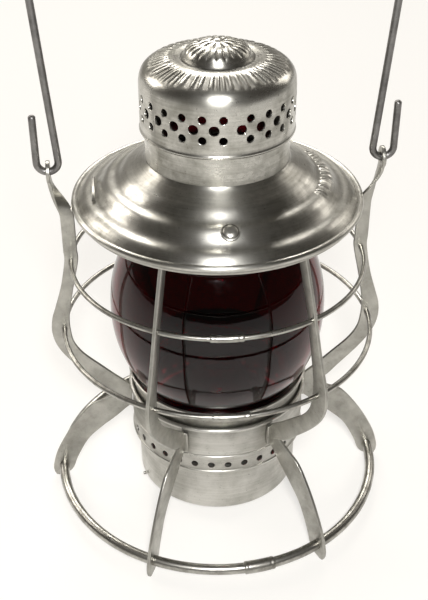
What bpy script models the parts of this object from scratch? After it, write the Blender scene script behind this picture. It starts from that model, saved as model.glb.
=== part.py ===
"""Railway hand lantern: wire guard frame, ruby globe, hinged smoke-dome lid, twist-out fount and bail.

Metres, +Z up. The front faces -Y, the two bail eyes are on +X and -X, and the origin is on the floor
under the lantern's centre. Numbers below are millimetres and degrees; MM turns them into metres where a
mesh is made. An azimuth is measured from the front (-Y) towards +X.
"""
import math

import bmesh
import bpy
from mathutils import Matrix, Vector

MM = 0.001
GAP = 0.3            # air between neighbouring pieces
SEGMENTS = 24        # facets of every large turned piece, so that nested ones keep their gap
SMALL_SEGMENTS = 16  # facets of the burner's turned pieces

# --- driving dimensions -------------------------------------------------------------------------------
STRIP_THICK = 1.7
UPRIGHTS = {"upright_front_left": -28.0, "upright_front_right": 31.0, "upright_left": -90.0,
            "upright_right": 90.0, "upright_back_left": -150.0, "upright_back_right": 150.0}

BASE_RING = dict(radius=84.0, z=7.35, wire=2.6, neck=2.2, sleeve=2.95, length=18.0, azimuth=8.5)
LOWER_RING = dict(radius=76.7, z=97.9, wire=1.3, neck=1.05, sleeve=1.8, length=19.0, azimuth=-1.0)
UPPER_RING = dict(radius=70.7, z=136.9, wire=1.2, neck=1.0, sleeve=1.75, length=16.4, azimuth=-2.4)
RING_STEP = 10.0     # degrees between the bends of a ring's polyline

COLLAR_RADIUS = 44.6
COLLAR_BOTTOM = 45.8
COLLAR_TOP = 61.0
TAB_LENGTH = 3.0     # the strip's tab that lies on the collar

VENT_COUNT = 33
VENT_Z = 39.3
VENT_RADIUS = 1.75
VENT_AZIMUTH = 1.3   # of the first vent

GLOBE_BOTTOM = 68.3
GLOBE_TOP = 150.8
GLOBE_RADIUS = 53.3
GLOBE_NECK = 40.0
GLOBE_WALL = 3.2

TOP_RING_Z = 166.2   # underside of the flat ring that carries the lid
TOP_RING_THICK = 1.4

LID_SHEET = 1.0
LID_RIM_RADIUS = 66.6
LID_RIM_Z = 169.7
LID_BEAD = 1.5
LID_INNER = 33.4
LID_OUTER = 65.4
LID_EDGE_Z = 170.6
LID_SLOPE = 0.59
RIDGE_HEIGHT = 0.75
RIDGE_PITCH = 10.5
RIDGE_CREST = 62.0   # radius of the outermost crest

CHIMNEY_RADIUS = 33.0
DOME_RADIUS = 34.9
DOME_BEAD_Z = 205.0
DOME_SHEET = 0.9
DOME_HOLES = 24
DOME_HOLE_PITCH = 14.8
DOME_SEAM = 1.5      # azimuth of the wider gap over the dome's seam
DOME_HOLE_Z = 217.3
DOME_ROW_STEP = 4.65
DOME_HOLE_RADII = (2.25, 1.8)

EYE_RADIUS = 77.3    # distance of each bail eye from the axis
EYE_Z = 185.0
EYE_OUTER = 5.2
EYE_HOLE = 2.5
TWIST_FROM = 158.0
TWIST_TO = 180.0

BAIL_WIRE = 1.7
BAIL_HOOK = 4.9
BAIL_HEIGHT = 200.0  # grip's centreline above the eyes

HINGE_Y = 70.5
HINGE_Z = 165.5
HINGE_PIN = 1.1
RIVET_Y = -53.4
LATCH_Y = -50.0
LATCH_Z = 175.5

SPINDLE_Y = 4.2
SPINDLE_Z = 54.0
SPINDLE_RADIUS = 1.1
WHEEL_RADIUS = 2.9

FINISHES = {  # sRGB-like linear colour, metallic, roughness
    "tinned_steel": ((0.50, 0.49, 0.45), 1.0, 0.33),
    "strip_steel": ((0.40, 0.40, 0.37), 1.0, 0.42),
    "bail_steel": ((0.11, 0.11, 0.11), 1.0, 0.45),
    "ruby_glass": ((0.16, 0.004, 0.008), 0.0, 0.06),
    "burner_brass": ((0.55, 0.38, 0.14), 1.0, 0.35),
    "wick_cotton": ((0.72, 0.68, 0.58), 0.0, 0.95),
}


# --- helpers ------------------------------------------------------------------------------------------
def clear_scene():
    """Remove every object, so that the model starts from nothing."""
    for old in list(bpy.data.objects):
        bpy.data.objects.remove(old, do_unlink=True)


def finish_material(finish):
    """Return the Principled material of a finish."""
    colour, metallic, roughness = FINISHES[finish]
    material = bpy.data.materials.new(finish)
    material.use_nodes = True
    shader = material.node_tree.nodes["Principled BSDF"]
    shader.inputs["Base Color"].default_value = (*colour, 1.0)
    shader.inputs["Metallic"].default_value = metallic
    shader.inputs["Roughness"].default_value = roughness
    if finish == "ruby_glass":
        shader.inputs["Transmission Weight"].default_value = 1.0
    return material


def direction(azimuth):
    """Return the horizontal unit vector of an azimuth."""
    angle = math.radians(azimuth)
    return Vector((math.sin(angle), -math.cos(angle), 0.0))


def facing(azimuth):
    """Return the rotation that carries the +X half plane to an azimuth."""
    return Matrix.Rotation(math.radians(azimuth - 90.0), 4, "Z")


def add_object(name, bm, finish):
    """Turn a bmesh in millimetres into a named object in metres with its faces out."""
    bmesh.ops.remove_doubles(bm, verts=bm.verts, dist=0.0005)
    bmesh.ops.recalc_face_normals(bm, faces=bm.faces)
    bmesh.ops.scale(bm, verts=bm.verts, vec=(MM, MM, MM))
    mesh = bpy.data.meshes.new(name)
    bm.to_mesh(mesh)
    bm.free()
    mesh.shade_smooth()
    mesh.set_sharp_from_angle(angle=math.radians(35.0))
    mesh.materials.append(finish_material(finish))
    part = bpy.data.objects.new(name, mesh)
    bpy.context.scene.collection.objects.link(part)
    return part


def add_tool(name, bm):
    """Make a hidden helper object from a bmesh, for a Boolean modifier."""
    tool = add_object(name, bm, "strip_steel")
    tool.hide_render = True
    tool.display_type = "WIRE"
    return tool


def combine(part, tool, operation):
    """Cut a tool out of a part, or weld it on, with an exact Boolean."""
    boolean = part.modifiers.new(tool.name, "BOOLEAN")
    boolean.operation = operation
    boolean.solver = "EXACT"
    boolean.object = tool


def spun(profile, segments=SEGMENTS, sweep=360.0):
    """Spin a closed (radius, height) outline round Z, from +X; a part turn keeps its two end faces."""
    bm = bmesh.new()
    corners = [bm.verts.new((radius, 0.0, height)) for radius, height in profile]
    if sweep < 360.0:
        geometry = [bm.faces.new(corners)]
    else:
        geometry = [bm.edges.new(pair) for pair in zip(corners, corners[1:] + corners[:1])
                    if pair[0].co.x > 0.0 or pair[1].co.x > 0.0]
    bmesh.ops.spin(bm, geom=geometry, cent=(0, 0, 0), axis=(0, 0, 1), angle=math.radians(sweep),
                   steps=segments, use_merge=sweep >= 360.0)
    return bm


def lofted(sections, closed=False):
    """Join matching closed sections in order; cap both ends, or join the last to the first."""
    bm = bmesh.new()
    loops = [[bm.verts.new(point) for point in section] for section in sections]
    pairs = zip(loops, loops[1:] + loops[:1]) if closed else zip(loops, loops[1:])
    for near, far in pairs:
        for index in range(len(near)):
            after = (index + 1) % len(near)
            bm.faces.new((near[index], near[after], far[after], far[index]))
    if not closed:
        bm.faces.new(loops[0])
        bm.faces.new(loops[-1])
    return bm


def add_cylinder(bm, radius, length, placement, sides=10):
    """Add a cylinder along Z, centred, carried to its place by a matrix."""
    bmesh.ops.create_cone(bm, cap_ends=True, segments=sides, radius1=radius, radius2=radius,
                          depth=length, matrix=placement)


def add_block(bm, low, high):
    """Add an upright block between two corners."""
    size = Vector(high) - Vector(low)
    centre = (Vector(high) + Vector(low)) / 2.0
    bmesh.ops.create_cube(bm, size=1.0, matrix=Matrix.Translation(centre) @ Matrix.Diagonal((*size, 1.0)))


def arc(radius, height, bend, start, end, steps):
    """Return points on a circle of radius `bend` round (radius, height), both ends included."""
    angles = [math.radians(start + (end - start) * step / steps) for step in range(steps + 1)]
    return [(radius + bend * math.cos(angle), height + bend * math.sin(angle)) for angle in angles]


def smooth_through(points, steps=2):
    """Return points on the Catmull-Rom curve that passes through every given point."""
    ends = [points[0]] + list(points) + [points[-1]]
    result = []
    for index in range(1, len(ends) - 2):
        before, here, there, after = (Vector(point) for point in ends[index - 1:index + 3])
        for step in range(steps):
            t = step / steps
            result.append(tuple(0.5 * (2.0 * here + (there - before) * t
                                       + (2.0 * before - 5.0 * here + 4.0 * there - after) * t ** 2
                                       + (3.0 * here - before - 3.0 * there + after) * t ** 3)))
    return result + [tuple(points[-1])]


def sheet(points, thickness):
    """Close a turned sheet: the outer outline, then its copy a thickness to the left, backwards."""
    inner = []
    for index, point in enumerate(points):
        here = Vector(point)
        before = Vector(points[max(index - 1, 0)])
        after = Vector(points[min(index + 1, len(points) - 1)])
        into = (here - before).normalized() if index else (after - here).normalized()
        out = (after - here).normalized() if index < len(points) - 1 else into
        along = (into + out).normalized()
        reach = thickness / max(along.dot(into), 0.6)
        radius = here.x - along.y * reach
        inner.append((0.0 if here.x == 0.0 else radius, here.y + along.x * reach))
    if points[0][0] == 0.0:
        inner[0] = (0.0, points[0][1] + thickness)
    if points[-1][0] == 0.0:
        inner[-1] = (0.0, points[-1][1] - thickness)
    return list(points) + inner[::-1]


def smoothstep(low, high, value):
    """Ease from 0 at low to 1 at high."""
    t = min(max((value - low) / (high - low), 0.0), 1.0)
    return t * t * (3.0 - 2.0 * t)


def wire(name, points, radius, finish, radii=None):
    """Add a round wire with closed ends along a list of points in millimetres."""
    curve = bpy.data.curves.new(name, "CURVE")
    curve.dimensions = "3D"
    curve.twist_mode = "MINIMUM"
    curve.bevel_depth = radius * MM
    curve.bevel_resolution = 2
    curve.use_fill_caps = True
    spline = curve.splines.new("POLY")
    spline.points.add(len(points) - 1)
    for index, point in enumerate(points):
        spline.points[index].co = (*(Vector(point) * MM), 1.0)
        spline.points[index].radius = radii[index] / radius if radii else 1.0
    curve.materials.append(finish_material(finish))
    part = bpy.data.objects.new(name, curve)
    bpy.context.scene.collection.objects.link(part)
    return part


def pivot(name, place, parts):
    """Hang moving parts on an empty that stands on their joint's axis."""
    empty = bpy.data.objects.new(name, None)
    empty.location = Vector(place) * MM
    bpy.context.scene.collection.objects.link(empty)
    for part in parts:
        part.parent = empty
        part.matrix_parent_inverse = Matrix.Translation(empty.location).inverted()


# --- frame: strips and rings --------------------------------------------------------------------------
ARM_AND_LEG = [  # outer edge of the strip below the upper ring, round the leg, to the arm's upper edge
    [(76.6, 123.0), (80.2, 111.0), (82.7, 103.0), (83.1, 94.5), (80.5, 86.0), (72.5, 74.5), (64.0, 64.8),
     (57.5, 58.3), (54.4, 55.6), (53.7, 53.9), (54.8, 52.6), (60.0, 51.2), (67.8, 46.9), (77.8, 34.0),
     (86.1, 18.9), (89.6, 8.5), (89.9, 3.0), (88.6, 0.0)],
    [(85.4, 0.0), (81.6, 1.4), (78.6, 4.6), (76.6, 11.0), (73.5, 17.9), (66.5, 29.1), (58.9, 34.8),
     (52.3, 40.8), (45.0, 47.2)],
    [(45.0, 59.5), (52.0, 65.8), (58.5, 72.0), (68.0, 81.0), (72.6, 88.0), (74.0, 95.0), (74.1, 102.0),
     (73.2, 110.0), (70.6, 122.0)],
]


def strip_outline():
    """Return the (radius, height) outline of a strip that ends under the lid's seat."""
    top = TOP_RING_Z - GAP
    outer = [(64.5, top), (67.6, 156.0), (70.5, 146.0), (73.0, 136.9)]
    inner = [(67.6, 136.9), (63.9, 150.0), (59.3, top)]
    lower, leg, arm = ARM_AND_LEG
    return smooth_through(outer + lower) + smooth_through(leg) + smooth_through(arm + inner)


def eye_centre(height):
    """Return the radius of a side strip's middle, which leans out past the lid's rim."""
    return 70.6 + (EYE_RADIUS - 70.6) * smoothstep(160.0, 182.0, height)


def eye_strip_outline():
    """Return the outline of a side strip, laid flat: it runs past the lid and ends in a round eye."""
    half = 3.3
    heights = [136.9, 146.0, 154.0, 160.0, 164.0, 168.0, 172.0, 176.0]
    outer = [(eye_centre(height) + half, height) for height in reversed(heights)]
    inner = [(eye_centre(height) - half, height) for height in heights]
    lower, leg, arm = ARM_AND_LEG
    eye = arc(EYE_RADIUS, EYE_Z, EYE_OUTER, 230.0, -50.0, 14)
    return (outer + smooth_through(lower) + smooth_through(leg) + smooth_through(arm) + inner + eye)


def twist_top(bm):
    """Turn the flat eye strip a quarter turn about its own middle between two heights."""
    for vert in bm.verts:
        turn = math.radians(90.0) * smoothstep(TWIST_FROM, TWIST_TO, vert.co.z)
        if turn:
            centre = eye_centre(vert.co.z)
            offset, side = vert.co.x - centre, vert.co.y
            vert.co.x = centre + offset * math.cos(turn) - side * math.sin(turn)
            vert.co.y = offset * math.sin(turn) + side * math.cos(turn)


def strip_plate(outline, twisted):
    """Extrude a strip's outline to its thickness in the XZ plane."""
    bm = bmesh.new()
    face = bm.faces.new([bm.verts.new((radius, -STRIP_THICK / 2.0, height)) for radius, height in outline])
    grown = bmesh.ops.extrude_face_region(bm, geom=[face])["geom"]
    bmesh.ops.translate(bm, vec=(0.0, STRIP_THICK, 0.0),
                        verts=[item for item in grown if isinstance(item, bmesh.types.BMVert)])
    if twisted:
        for height in (TWIST_FROM, 161.0, 164.0, 167.0, 170.0, 173.0, 176.0, TWIST_TO):
            bmesh.ops.bisect_plane(bm, geom=bm.verts[:] + bm.edges[:] + bm.faces[:], dist=0.001,
                                   plane_co=(0.0, 0.0, height), plane_no=(0.0, 0.0, 1.0))
        bmesh.ops.triangulate(bm, faces=bm.faces)
        twist_top(bm)
    return bm


def add_upright(name, azimuth):
    """Add one strip with its ring holes, its collar tab and, on a side strip, its bail eye."""
    carries_bail = abs(azimuth) == 90.0
    outline = eye_strip_outline() if carries_bail else strip_outline()
    plate = strip_plate(outline, carries_bail)
    plate.transform(facing(azimuth))
    part = add_object(name, plate, "strip_steel")

    tab_low, tab_high = COLLAR_RADIUS + 0.4, COLLAR_RADIUS + 1.6
    sweep = math.degrees(TAB_LENGTH / tab_high)
    tab = spun([(tab_low, 47.6), (tab_high, 47.6), (tab_high, 59.0), (tab_low, 59.0)], 3, sweep)
    tab.transform(facing(azimuth if azimuth < 0.0 else azimuth - sweep))
    combine(part, add_tool(name + "_tab", tab), "UNION")

    holes = bmesh.new()
    across = Matrix.Rotation(math.radians(90.0), 4, "X")
    for ring in (BASE_RING, LOWER_RING, UPPER_RING):
        place = Matrix.Translation((ring["radius"], 0.0, ring["z"]))
        add_cylinder(holes, ring["wire"] + 0.4, 3.0 * STRIP_THICK, place @ across)
    if carries_bail:
        place = Matrix.Translation((EYE_RADIUS, 0.0, EYE_Z))
        add_cylinder(holes, EYE_HOLE, 3.0 * STRIP_THICK, place @ Matrix.Rotation(math.radians(90.0), 4, "Y"))
    holes.transform(facing(azimuth))
    combine(part, add_tool(name + "_holes", holes), "DIFFERENCE")


def ring_point(ring, azimuth):
    """Return a point of a ring's centreline."""
    return direction(azimuth) * ring["radius"] + Vector((0.0, 0.0, ring["z"]))


def ring_section(ring, radius, azimuth):
    """Return a round section across a ring's wire at an azimuth."""
    turn = facing(azimuth)
    return [turn @ Vector((r, 0.0, z)) for r, z in arc(ring["radius"], ring["z"], radius, 0.0, 324.0, 9)]


def add_ring(name, ferrule_name, ring):
    """Add a bent wire ring, necked down where its two ends meet, and the sleeve crimped over them."""
    half = math.degrees((ring["length"] / 2.0 + 0.6) / ring["radius"])
    step = math.degrees(0.3 / ring["radius"])
    seam = ring["azimuth"]
    ends = [(seam + step, ring["neck"]), (seam + half, ring["neck"]), (seam + half + step, ring["wire"])]
    first = math.ceil((seam + half + 1.0) / RING_STEP)
    last = math.floor((seam + 360.0 - half - 1.0) / RING_STEP)
    middle = [(index * RING_STEP, ring["wire"]) for index in range(first, last + 1)]
    mirrored = [(2.0 * seam + 360.0 - azimuth, radius) for azimuth, radius in reversed(ends)]
    route = ends + middle + mirrored
    wire(name, [ring_point(ring, azimuth) for azimuth, _ in route], ring["wire"], "tinned_steel",
         radii=[radius for _, radius in route])

    sweep = math.degrees(ring["length"] / ring["radius"])
    outer = [ring_section(ring, ring["sleeve"], seam + sweep * (step / 4.0 - 0.5)) for step in range(5)]
    bore = [ring_section(ring, ring["neck"] + GAP, seam + sweep * (step / 4.0 - 0.5)) for step in range(5)]
    add_object(ferrule_name, lofted(outer + bore[::-1], closed=True), "tinned_steel")


def add_frame():
    """Add the six strips, the three rings, the collar, the vented band, the cup and the lid's seat."""
    for name, azimuth in UPRIGHTS.items():
        add_upright(name, azimuth)
    add_ring("base_ring", "base_ring_ferrule", BASE_RING)
    add_ring("lower_guard_ring", "lower_guard_ferrule", LOWER_RING)
    add_ring("upper_guard_ring", "upper_guard_ferrule", UPPER_RING)

    inner = COLLAR_RADIUS - 1.1
    bead = arc(COLLAR_RADIUS + 0.4, COLLAR_TOP + 1.2, 1.1, -80.0, 180.0, 5)
    flare = COLLAR_RADIUS + 0.3
    foot = [(inner, COLLAR_BOTTOM), (flare, COLLAR_BOTTOM), (flare, COLLAR_BOTTOM + 0.9)]
    collar = foot + [(COLLAR_RADIUS, COLLAR_BOTTOM + 1.4), (COLLAR_RADIUS, COLLAR_TOP)]
    add_object("collar_band", spun(collar + bead + [(inner, COLLAR_TOP + 0.4)]), "tinned_steel")

    band = [(42.1, 52.0), (43.2, 52.0), (43.2, 45.4), (44.6, 44.9), (44.7, 36.2)]
    bead = arc(44.1, 34.9, 1.1, 50.0, -150.0, 4)
    inside = [(43.4, 36.2), (43.4, 43.9), (42.1, 44.4)]
    vent_band = add_object("vent_band", spun(band + bead + inside), "tinned_steel")
    holes = bmesh.new()
    for index in range(VENT_COUNT):
        azimuth = VENT_AZIMUTH + index * 360.0 / VENT_COUNT
        place = direction(azimuth) * 44.0 + Vector((0.0, 0.0, VENT_Z))
        turn = facing(azimuth) @ Matrix.Rotation(math.radians(90.0), 4, "Y")
        add_cylinder(holes, VENT_RADIUS, 6.0, Matrix.Translation(place) @ turn, sides=6)
    combine(vent_band, add_tool("vent_band_holes", holes), "DIFFERENCE")

    floor = GLOBE_BOTTOM - GAP
    cup = [(42.2, 53.0), (43.2, 53.0), (43.2, 64.2), (45.4, 71.4)]
    cup += arc(45.1, 72.3, 0.85, -40.0, 170.0, 4)
    cup += [(42.9, floor), (33.0, floor), (33.0, floor - 0.8), (42.2, floor - 0.8)]
    add_object("globe_cup", spun(cup), "tinned_steel")

    seat = [(57.4, TOP_RING_Z), (66.0, TOP_RING_Z), (66.0, TOP_RING_Z + TOP_RING_THICK),
            (57.4, TOP_RING_Z + TOP_RING_THICK)]
    ring = add_object("frame_top_ring", spun(seat), "strip_steel")
    tabs = bmesh.new()
    for side in (-1.0, 1.0):
        low, high = sorted((side * 63.0, side * 68.4))
        add_block(tabs, (low, -5.0, TOP_RING_Z + 0.1), (high, 5.0, TOP_RING_Z + TOP_RING_THICK - 0.1))
    combine(ring, add_tool("frame_top_ring_tabs", tabs), "UNION")


def add_globe():
    """Add the barrel-shaped glass globe, open at both ends."""
    middle, half = (GLOBE_TOP + GLOBE_BOTTOM) / 2.0, (GLOBE_TOP - GLOBE_BOTTOM) / 2.0
    outer = []
    for step in range(9):
        t = -1.0 + step / 4.0
        swell = (GLOBE_RADIUS - GLOBE_NECK) * (1.0 - abs(t) ** 2.2)
        outer.append((GLOBE_NECK + swell, middle + half * t))
    inner = [(radius - GLOBE_WALL, height) for radius, height in reversed(outer)]
    add_object("globe", spun(outer + inner), "ruby_glass")


# --- lid ----------------------------------------------------------------------------------------------
def lid_top(radius):
    """Return the height of the lid's upper face: a cone with rolled ridges that fade at the chimney."""
    fade = smoothstep(38.0, 48.0, radius)
    wave = math.cos(2.0 * math.pi * (radius - RIDGE_CREST) / RIDGE_PITCH)
    return LID_EDGE_Z + LID_SLOPE * (LID_OUTER - radius) + RIDGE_HEIGHT * fade * wave


def add_lid_shell():
    """Add the ridged lid with its rolled rim."""
    radii = [LID_INNER, 38.0, 42.0] + [46.25 + step * RIDGE_PITCH / 8.0 for step in range(15)]
    top = [(radius, lid_top(radius)) for radius in radii]
    under = [(radius, height - LID_SHEET) for radius, height in reversed(top)]
    bead = arc(LID_RIM_RADIUS, LID_RIM_Z, LID_BEAD, 120.0, -150.0, 6)
    return add_object("lid_shell", spun(top + bead + under), "tinned_steel")


def add_smoke_dome():
    """Add the dome: a bead, a band with three rows of holes, a shoulder, a crown and a central boss."""
    outline = arc(34.3, DOME_BEAD_Z, 1.0, 200.0, 400.0, 5)
    outline += [(DOME_RADIUS, 206.3), (DOME_RADIUS, 225.5), (34.6, 228.4), (33.5, 231.3), (31.2, 233.5),
                (26.5, 235.3), (20.5, 236.9), (17.2, 236.6), (15.0, 237.6), (14.0, 240.0), (11.0, 242.0),
                (6.0, 243.4), (0.0, 244.4)]
    inner = [(0.0, 243.5), (5.8, 242.5), (10.5, 241.1), (13.1, 239.3), (14.1, 236.8), (17.1, 235.6),
             (20.4, 235.9), (26.2, 234.4), (30.7, 232.7), (32.7, 230.8), (33.7, 228.3),
             (DOME_RADIUS - DOME_SHEET, 225.5), (DOME_RADIUS - DOME_SHEET, 206.3)]
    dome = add_object("smoke_dome", spun(outline + inner), "tinned_steel")
    holes = bmesh.new()
    half_seam = (360.0 - (DOME_HOLES - 1) * DOME_HOLE_PITCH) / 2.0
    for index in range(DOME_HOLES):
        azimuth = DOME_SEAM + half_seam + index * DOME_HOLE_PITCH
        large, small = DOME_HOLE_RADII
        rows = [(azimuth, 0.0, large, 6), (azimuth + 6.4, DOME_ROW_STEP, small, 4),
                (azimuth + 6.4, -DOME_ROW_STEP, small, 4)]
        for turn, rise, radius, sides in rows:
            place = direction(turn) * DOME_RADIUS + Vector((0.0, 0.0, DOME_HOLE_Z + rise))
            lie = facing(turn) @ Matrix.Rotation(math.radians(90.0), 4, "Y")
            add_cylinder(holes, radius, 6.0, Matrix.Translation(place) @ lie, sides=sides)
    combine(dome, add_tool("smoke_dome_holes", holes), "DIFFERENCE")
    return dome


def strap_section(centre, across, out, width, thickness):
    """Return the four corners of a flat strap's section."""
    corners = ((-0.5, -0.5), (0.5, -0.5), (0.5, 0.5), (-0.5, 0.5))
    return [centre + across * (a * width) + out * (b * thickness) for a, b in corners]


def add_lid_loop():
    """Add the raised strap on the left of the lid."""
    reach, radius = 11.5, 57.5
    sections = []
    for step in range(9):
        t = -1.0 + step / 4.0
        side = reach * t
        ground = lid_top(math.hypot(radius, side)) + GAP + 0.55
        height = ground + 1.9 * (1.0 - t ** 4)
        sections.append(strap_section(Vector((-radius, side, height)), Vector((1.0, 0.0, 0.0)),
                                      Vector((0.0, 0.0, 1.0)), 1.6, 0.9))
    return add_object("lid_loop", lofted(sections), "tinned_steel")


def flat_strap(points, width, thickness):
    """Bend a strap of constant width along X through (y, z) points."""
    sections = []
    for index, point in enumerate(points):
        before = Vector(points[max(index - 1, 0)])
        after = Vector(points[min(index + 1, len(points) - 1)])
        along = (after - before).normalized()
        out = Vector((0.0, -along.y, along.x))
        sections.append(strap_section(Vector((0.0, *point)), Vector((1.0, 0.0, 0.0)), out, width, thickness))
    return lofted(sections)


def add_hinge(across):
    """Add the frame's hinge bracket and pin, and return the lid's leaf with its knuckle."""
    bracket = bmesh.new()
    add_block(bracket, (-7.0, 60.0, 163.6), (7.0, 69.0, TOP_RING_Z - GAP))
    base = add_object("hinge_bracket", bracket, "strip_steel")
    ears = bmesh.new()
    for side in (-5.75, 5.75):
        add_cylinder(ears, 2.9, 2.5, Matrix.Translation((side, HINGE_Y, HINGE_Z)) @ across, sides=14)
    combine(base, add_tool("hinge_bracket_ears", ears), "UNION")
    throat = bmesh.new()
    add_block(throat, (-4.5, 66.6, 160.0), (4.5, 80.0, 170.0))
    combine(base, add_tool("hinge_bracket_throat", throat), "DIFFERENCE")
    hole = bmesh.new()
    add_cylinder(hole, HINGE_PIN + 0.4, 24.0, Matrix.Translation((0.0, HINGE_Y, HINGE_Z)) @ across, sides=10)
    combine(base, add_tool("hinge_bracket_hole", hole), "DIFFERENCE")

    pin = spun([(0.0, -9.2), (2.0, -9.2), (2.0, -7.4), (HINGE_PIN, -7.4), (HINGE_PIN, 8.2), (0.0, 8.2)], 12)
    pin.transform(Matrix.Translation((0.0, HINGE_Y, HINGE_Z)) @ across)
    add_object("hinge_pin", pin, "strip_steel")

    route = [(70.6, 166.8), (70.6, 171.4), (69.2, 173.2), (66.0, 173.4), (62.0, 174.6), (57.6, 176.6)]
    leaf = add_object("lid_hinge_leaf", flat_strap(route, 8.2, 0.9), "strip_steel")
    knuckle = bmesh.new()
    add_cylinder(knuckle, 2.6, 8.0, Matrix.Translation((0.0, HINGE_Y, HINGE_Z)) @ across, sides=14)
    combine(leaf, add_tool("lid_hinge_knuckle", knuckle), "UNION")
    bore = bmesh.new()
    add_cylinder(bore, HINGE_PIN + 0.4, 20.0, Matrix.Translation((0.0, HINGE_Y, HINGE_Z)) @ across, sides=12)
    combine(leaf, add_tool("lid_hinge_bore", bore), "DIFFERENCE")
    return leaf


def add_lid():
    """Add the lid with everything that lifts with it, and the sprung latch inside its front."""
    across = Matrix.Rotation(math.radians(90.0), 4, "Y")
    shell = add_lid_shell()
    collar = [(CHIMNEY_RADIUS - 1.0, 183.5), (36.4, 183.5), (36.4, 184.3), (CHIMNEY_RADIUS, 184.3),
              (CHIMNEY_RADIUS, 208.0), (CHIMNEY_RADIUS - 1.0, 208.0)]
    chimney = add_object("chimney_collar", spun(collar), "tinned_steel")
    dome = add_smoke_dome()
    baffle = [(0.0, 221.6), (27.0, 221.6), (27.0, 222.6), (1.8, 223.4), (1.8, 242.4), (0.0, 242.4)]
    draft = add_object("draft_baffle", spun(baffle), "tinned_steel")
    lip = GLOBE_TOP + GAP + 0.1
    tube = [(36.8, lip), (41.0, lip), (41.0, lip + 1.0), (38.4, lip + 2.0), (31.0, 186.0), (30.1, 186.0),
            (37.4, lip + 1.7)]
    retainer = add_object("globe_retainer", spun(tube), "tinned_steel")

    tilt = Matrix.Rotation(math.atan(LID_SLOPE), 4, "X")
    head = [(0.0, 0.0), (4.0, 0.0), (4.0, 0.5), (3.0, 0.8), (2.3, 1.8), (1.2, 2.3), (0.0, 2.4)]
    rivet = spun(head, 14)
    rivet.transform(Matrix.Translation((0.0, RIVET_Y, lid_top(-RIVET_Y) + 1.5)) @ tilt)
    latch_rivet = add_object("latch_rivet", rivet, "tinned_steel")

    leaf = add_hinge(across)
    loop = add_lid_loop()
    pivot("lid_hinge_axis", (0.0, HINGE_Y, HINGE_Z),
          [shell, chimney, dome, draft, retainer, latch_rivet, leaf, loop])

    route = [(-46.0, 177.8), (LATCH_Y, LATCH_Z), (-54.5, 172.8), (-56.0, 169.5), (-56.0, 166.0),
             (-56.5, 163.4), (-55.0, 161.2)]
    spring = add_object("latch_spring", flat_strap(route, 8.0, 0.8), "strip_steel")
    pivot("latch_axis", (0.0, LATCH_Y, LATCH_Z), [spring])


# --- fount and burner ---------------------------------------------------------------------------------
def add_fount():
    """Add the twist-out fount: the can, its stud and cap, and the burner that stands in it."""
    outline = [(0.0, 7.9), (37.2, 7.9), (38.6, 6.3), (40.6, 6.3), (41.6, 7.6), (42.0, 32.7), (41.4, 33.3),
               (37.0, 33.3), (36.0, 34.3), (36.0, 40.4), (35.0, 41.4), (11.5, 42.0)]
    can = add_object("fount_can", spun(sheet(outline, 0.8)), "tinned_steel")
    filler = bmesh.new()
    add_cylinder(filler, 5.3, 6.0, Matrix.Translation((0.0, 24.0, 41.5)), sides=14)
    combine(can, add_tool("filler_hole", filler), "DIFFERENCE")

    cap_side = [(4.8, 38.5), (4.8, 42.4), (7.0, 42.4), (7.0, 45.4), (6.2, 46.0)]
    cap = spun([(0.0, 38.5)] + cap_side + [(0.0, 46.0)], 14)
    cap.transform(Matrix.Translation((0.0, 24.0, 0.0)))
    filler_cap = add_object("filler_cap", cap, "burner_brass")

    stud = bmesh.new()
    lie = facing(-71.0) @ Matrix.Rotation(math.radians(90.0), 4, "Y")
    place = direction(-71.0) * 42.8 + Vector((0.0, 0.0, 8.6))
    add_cylinder(stud, 0.8, 1.6, Matrix.Translation(place) @ lie, sides=8)
    fount_stud = add_object("fount_stud", stud, "strip_steel")

    collar = spun([(9.7, 38.5), (11.1, 38.5), (11.1, 42.4), (13.6, 42.4), (13.6, 43.3), (11.1, 43.6),
                   (11.1, 47.0), (9.7, 47.0)], SMALL_SEGMENTS)
    burner_collar = add_object("burner_collar", collar, "burner_brass")
    body = sheet([(9.4, 40.0), (9.4, 47.4), (12.0, 49.0), (16.5, 51.0), (17.2, 53.0), (17.2, 57.0)], 0.8)
    burner_body = add_object("burner_body", spun(body, SMALL_SEGMENTS), "burner_brass")
    bearing = bmesh.new()
    along_x = Matrix.Rotation(math.radians(90.0), 4, "Y")
    add_cylinder(bearing, SPINDLE_RADIUS + 0.4, 8.0,
                 Matrix.Translation((16.5, SPINDLE_Y, SPINDLE_Z)) @ along_x, sides=10)
    combine(burner_body, add_tool("burner_bearing", bearing), "DIFFERENCE")

    dome = sheet([(17.0, 57.4), (16.6, 60.5), (14.0, 64.5), (9.5, 67.0), (0.0, 68.0)], 0.7)
    deflector = add_object("flame_deflector", spun(dome, SMALL_SEGMENTS), "burner_brass")
    slot = bmesh.new()
    add_block(slot, (-8.0, -3.0, 62.0), (8.0, 3.0, 72.0))
    combine(deflector, add_tool("flame_slot", slot), "DIFFERENCE")

    tube = bmesh.new()
    add_block(tube, (-7.8, -2.2, 37.0), (7.8, 2.2, 63.0))
    wick_tube = add_object("wick_tube", tube, "burner_brass")
    hollow = bmesh.new()
    add_block(hollow, (-7.0, -1.4, 30.0), (7.0, 1.4, 70.0))
    combine(wick_tube, add_tool("wick_tube_hollow", hollow), "DIFFERENCE")
    window = bmesh.new()
    add_block(window, (-3.6, 0.9, SPINDLE_Z - 4.0), (3.6, 4.0, SPINDLE_Z + 4.0))
    combine(wick_tube, add_tool("wick_tube_window", window), "DIFFERENCE")
    pivot("fount_axis", (0.0, 0.0, 0.0), [can, filler_cap, fount_stud, burner_collar, burner_body, deflector,
                                          wick_tube])


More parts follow.
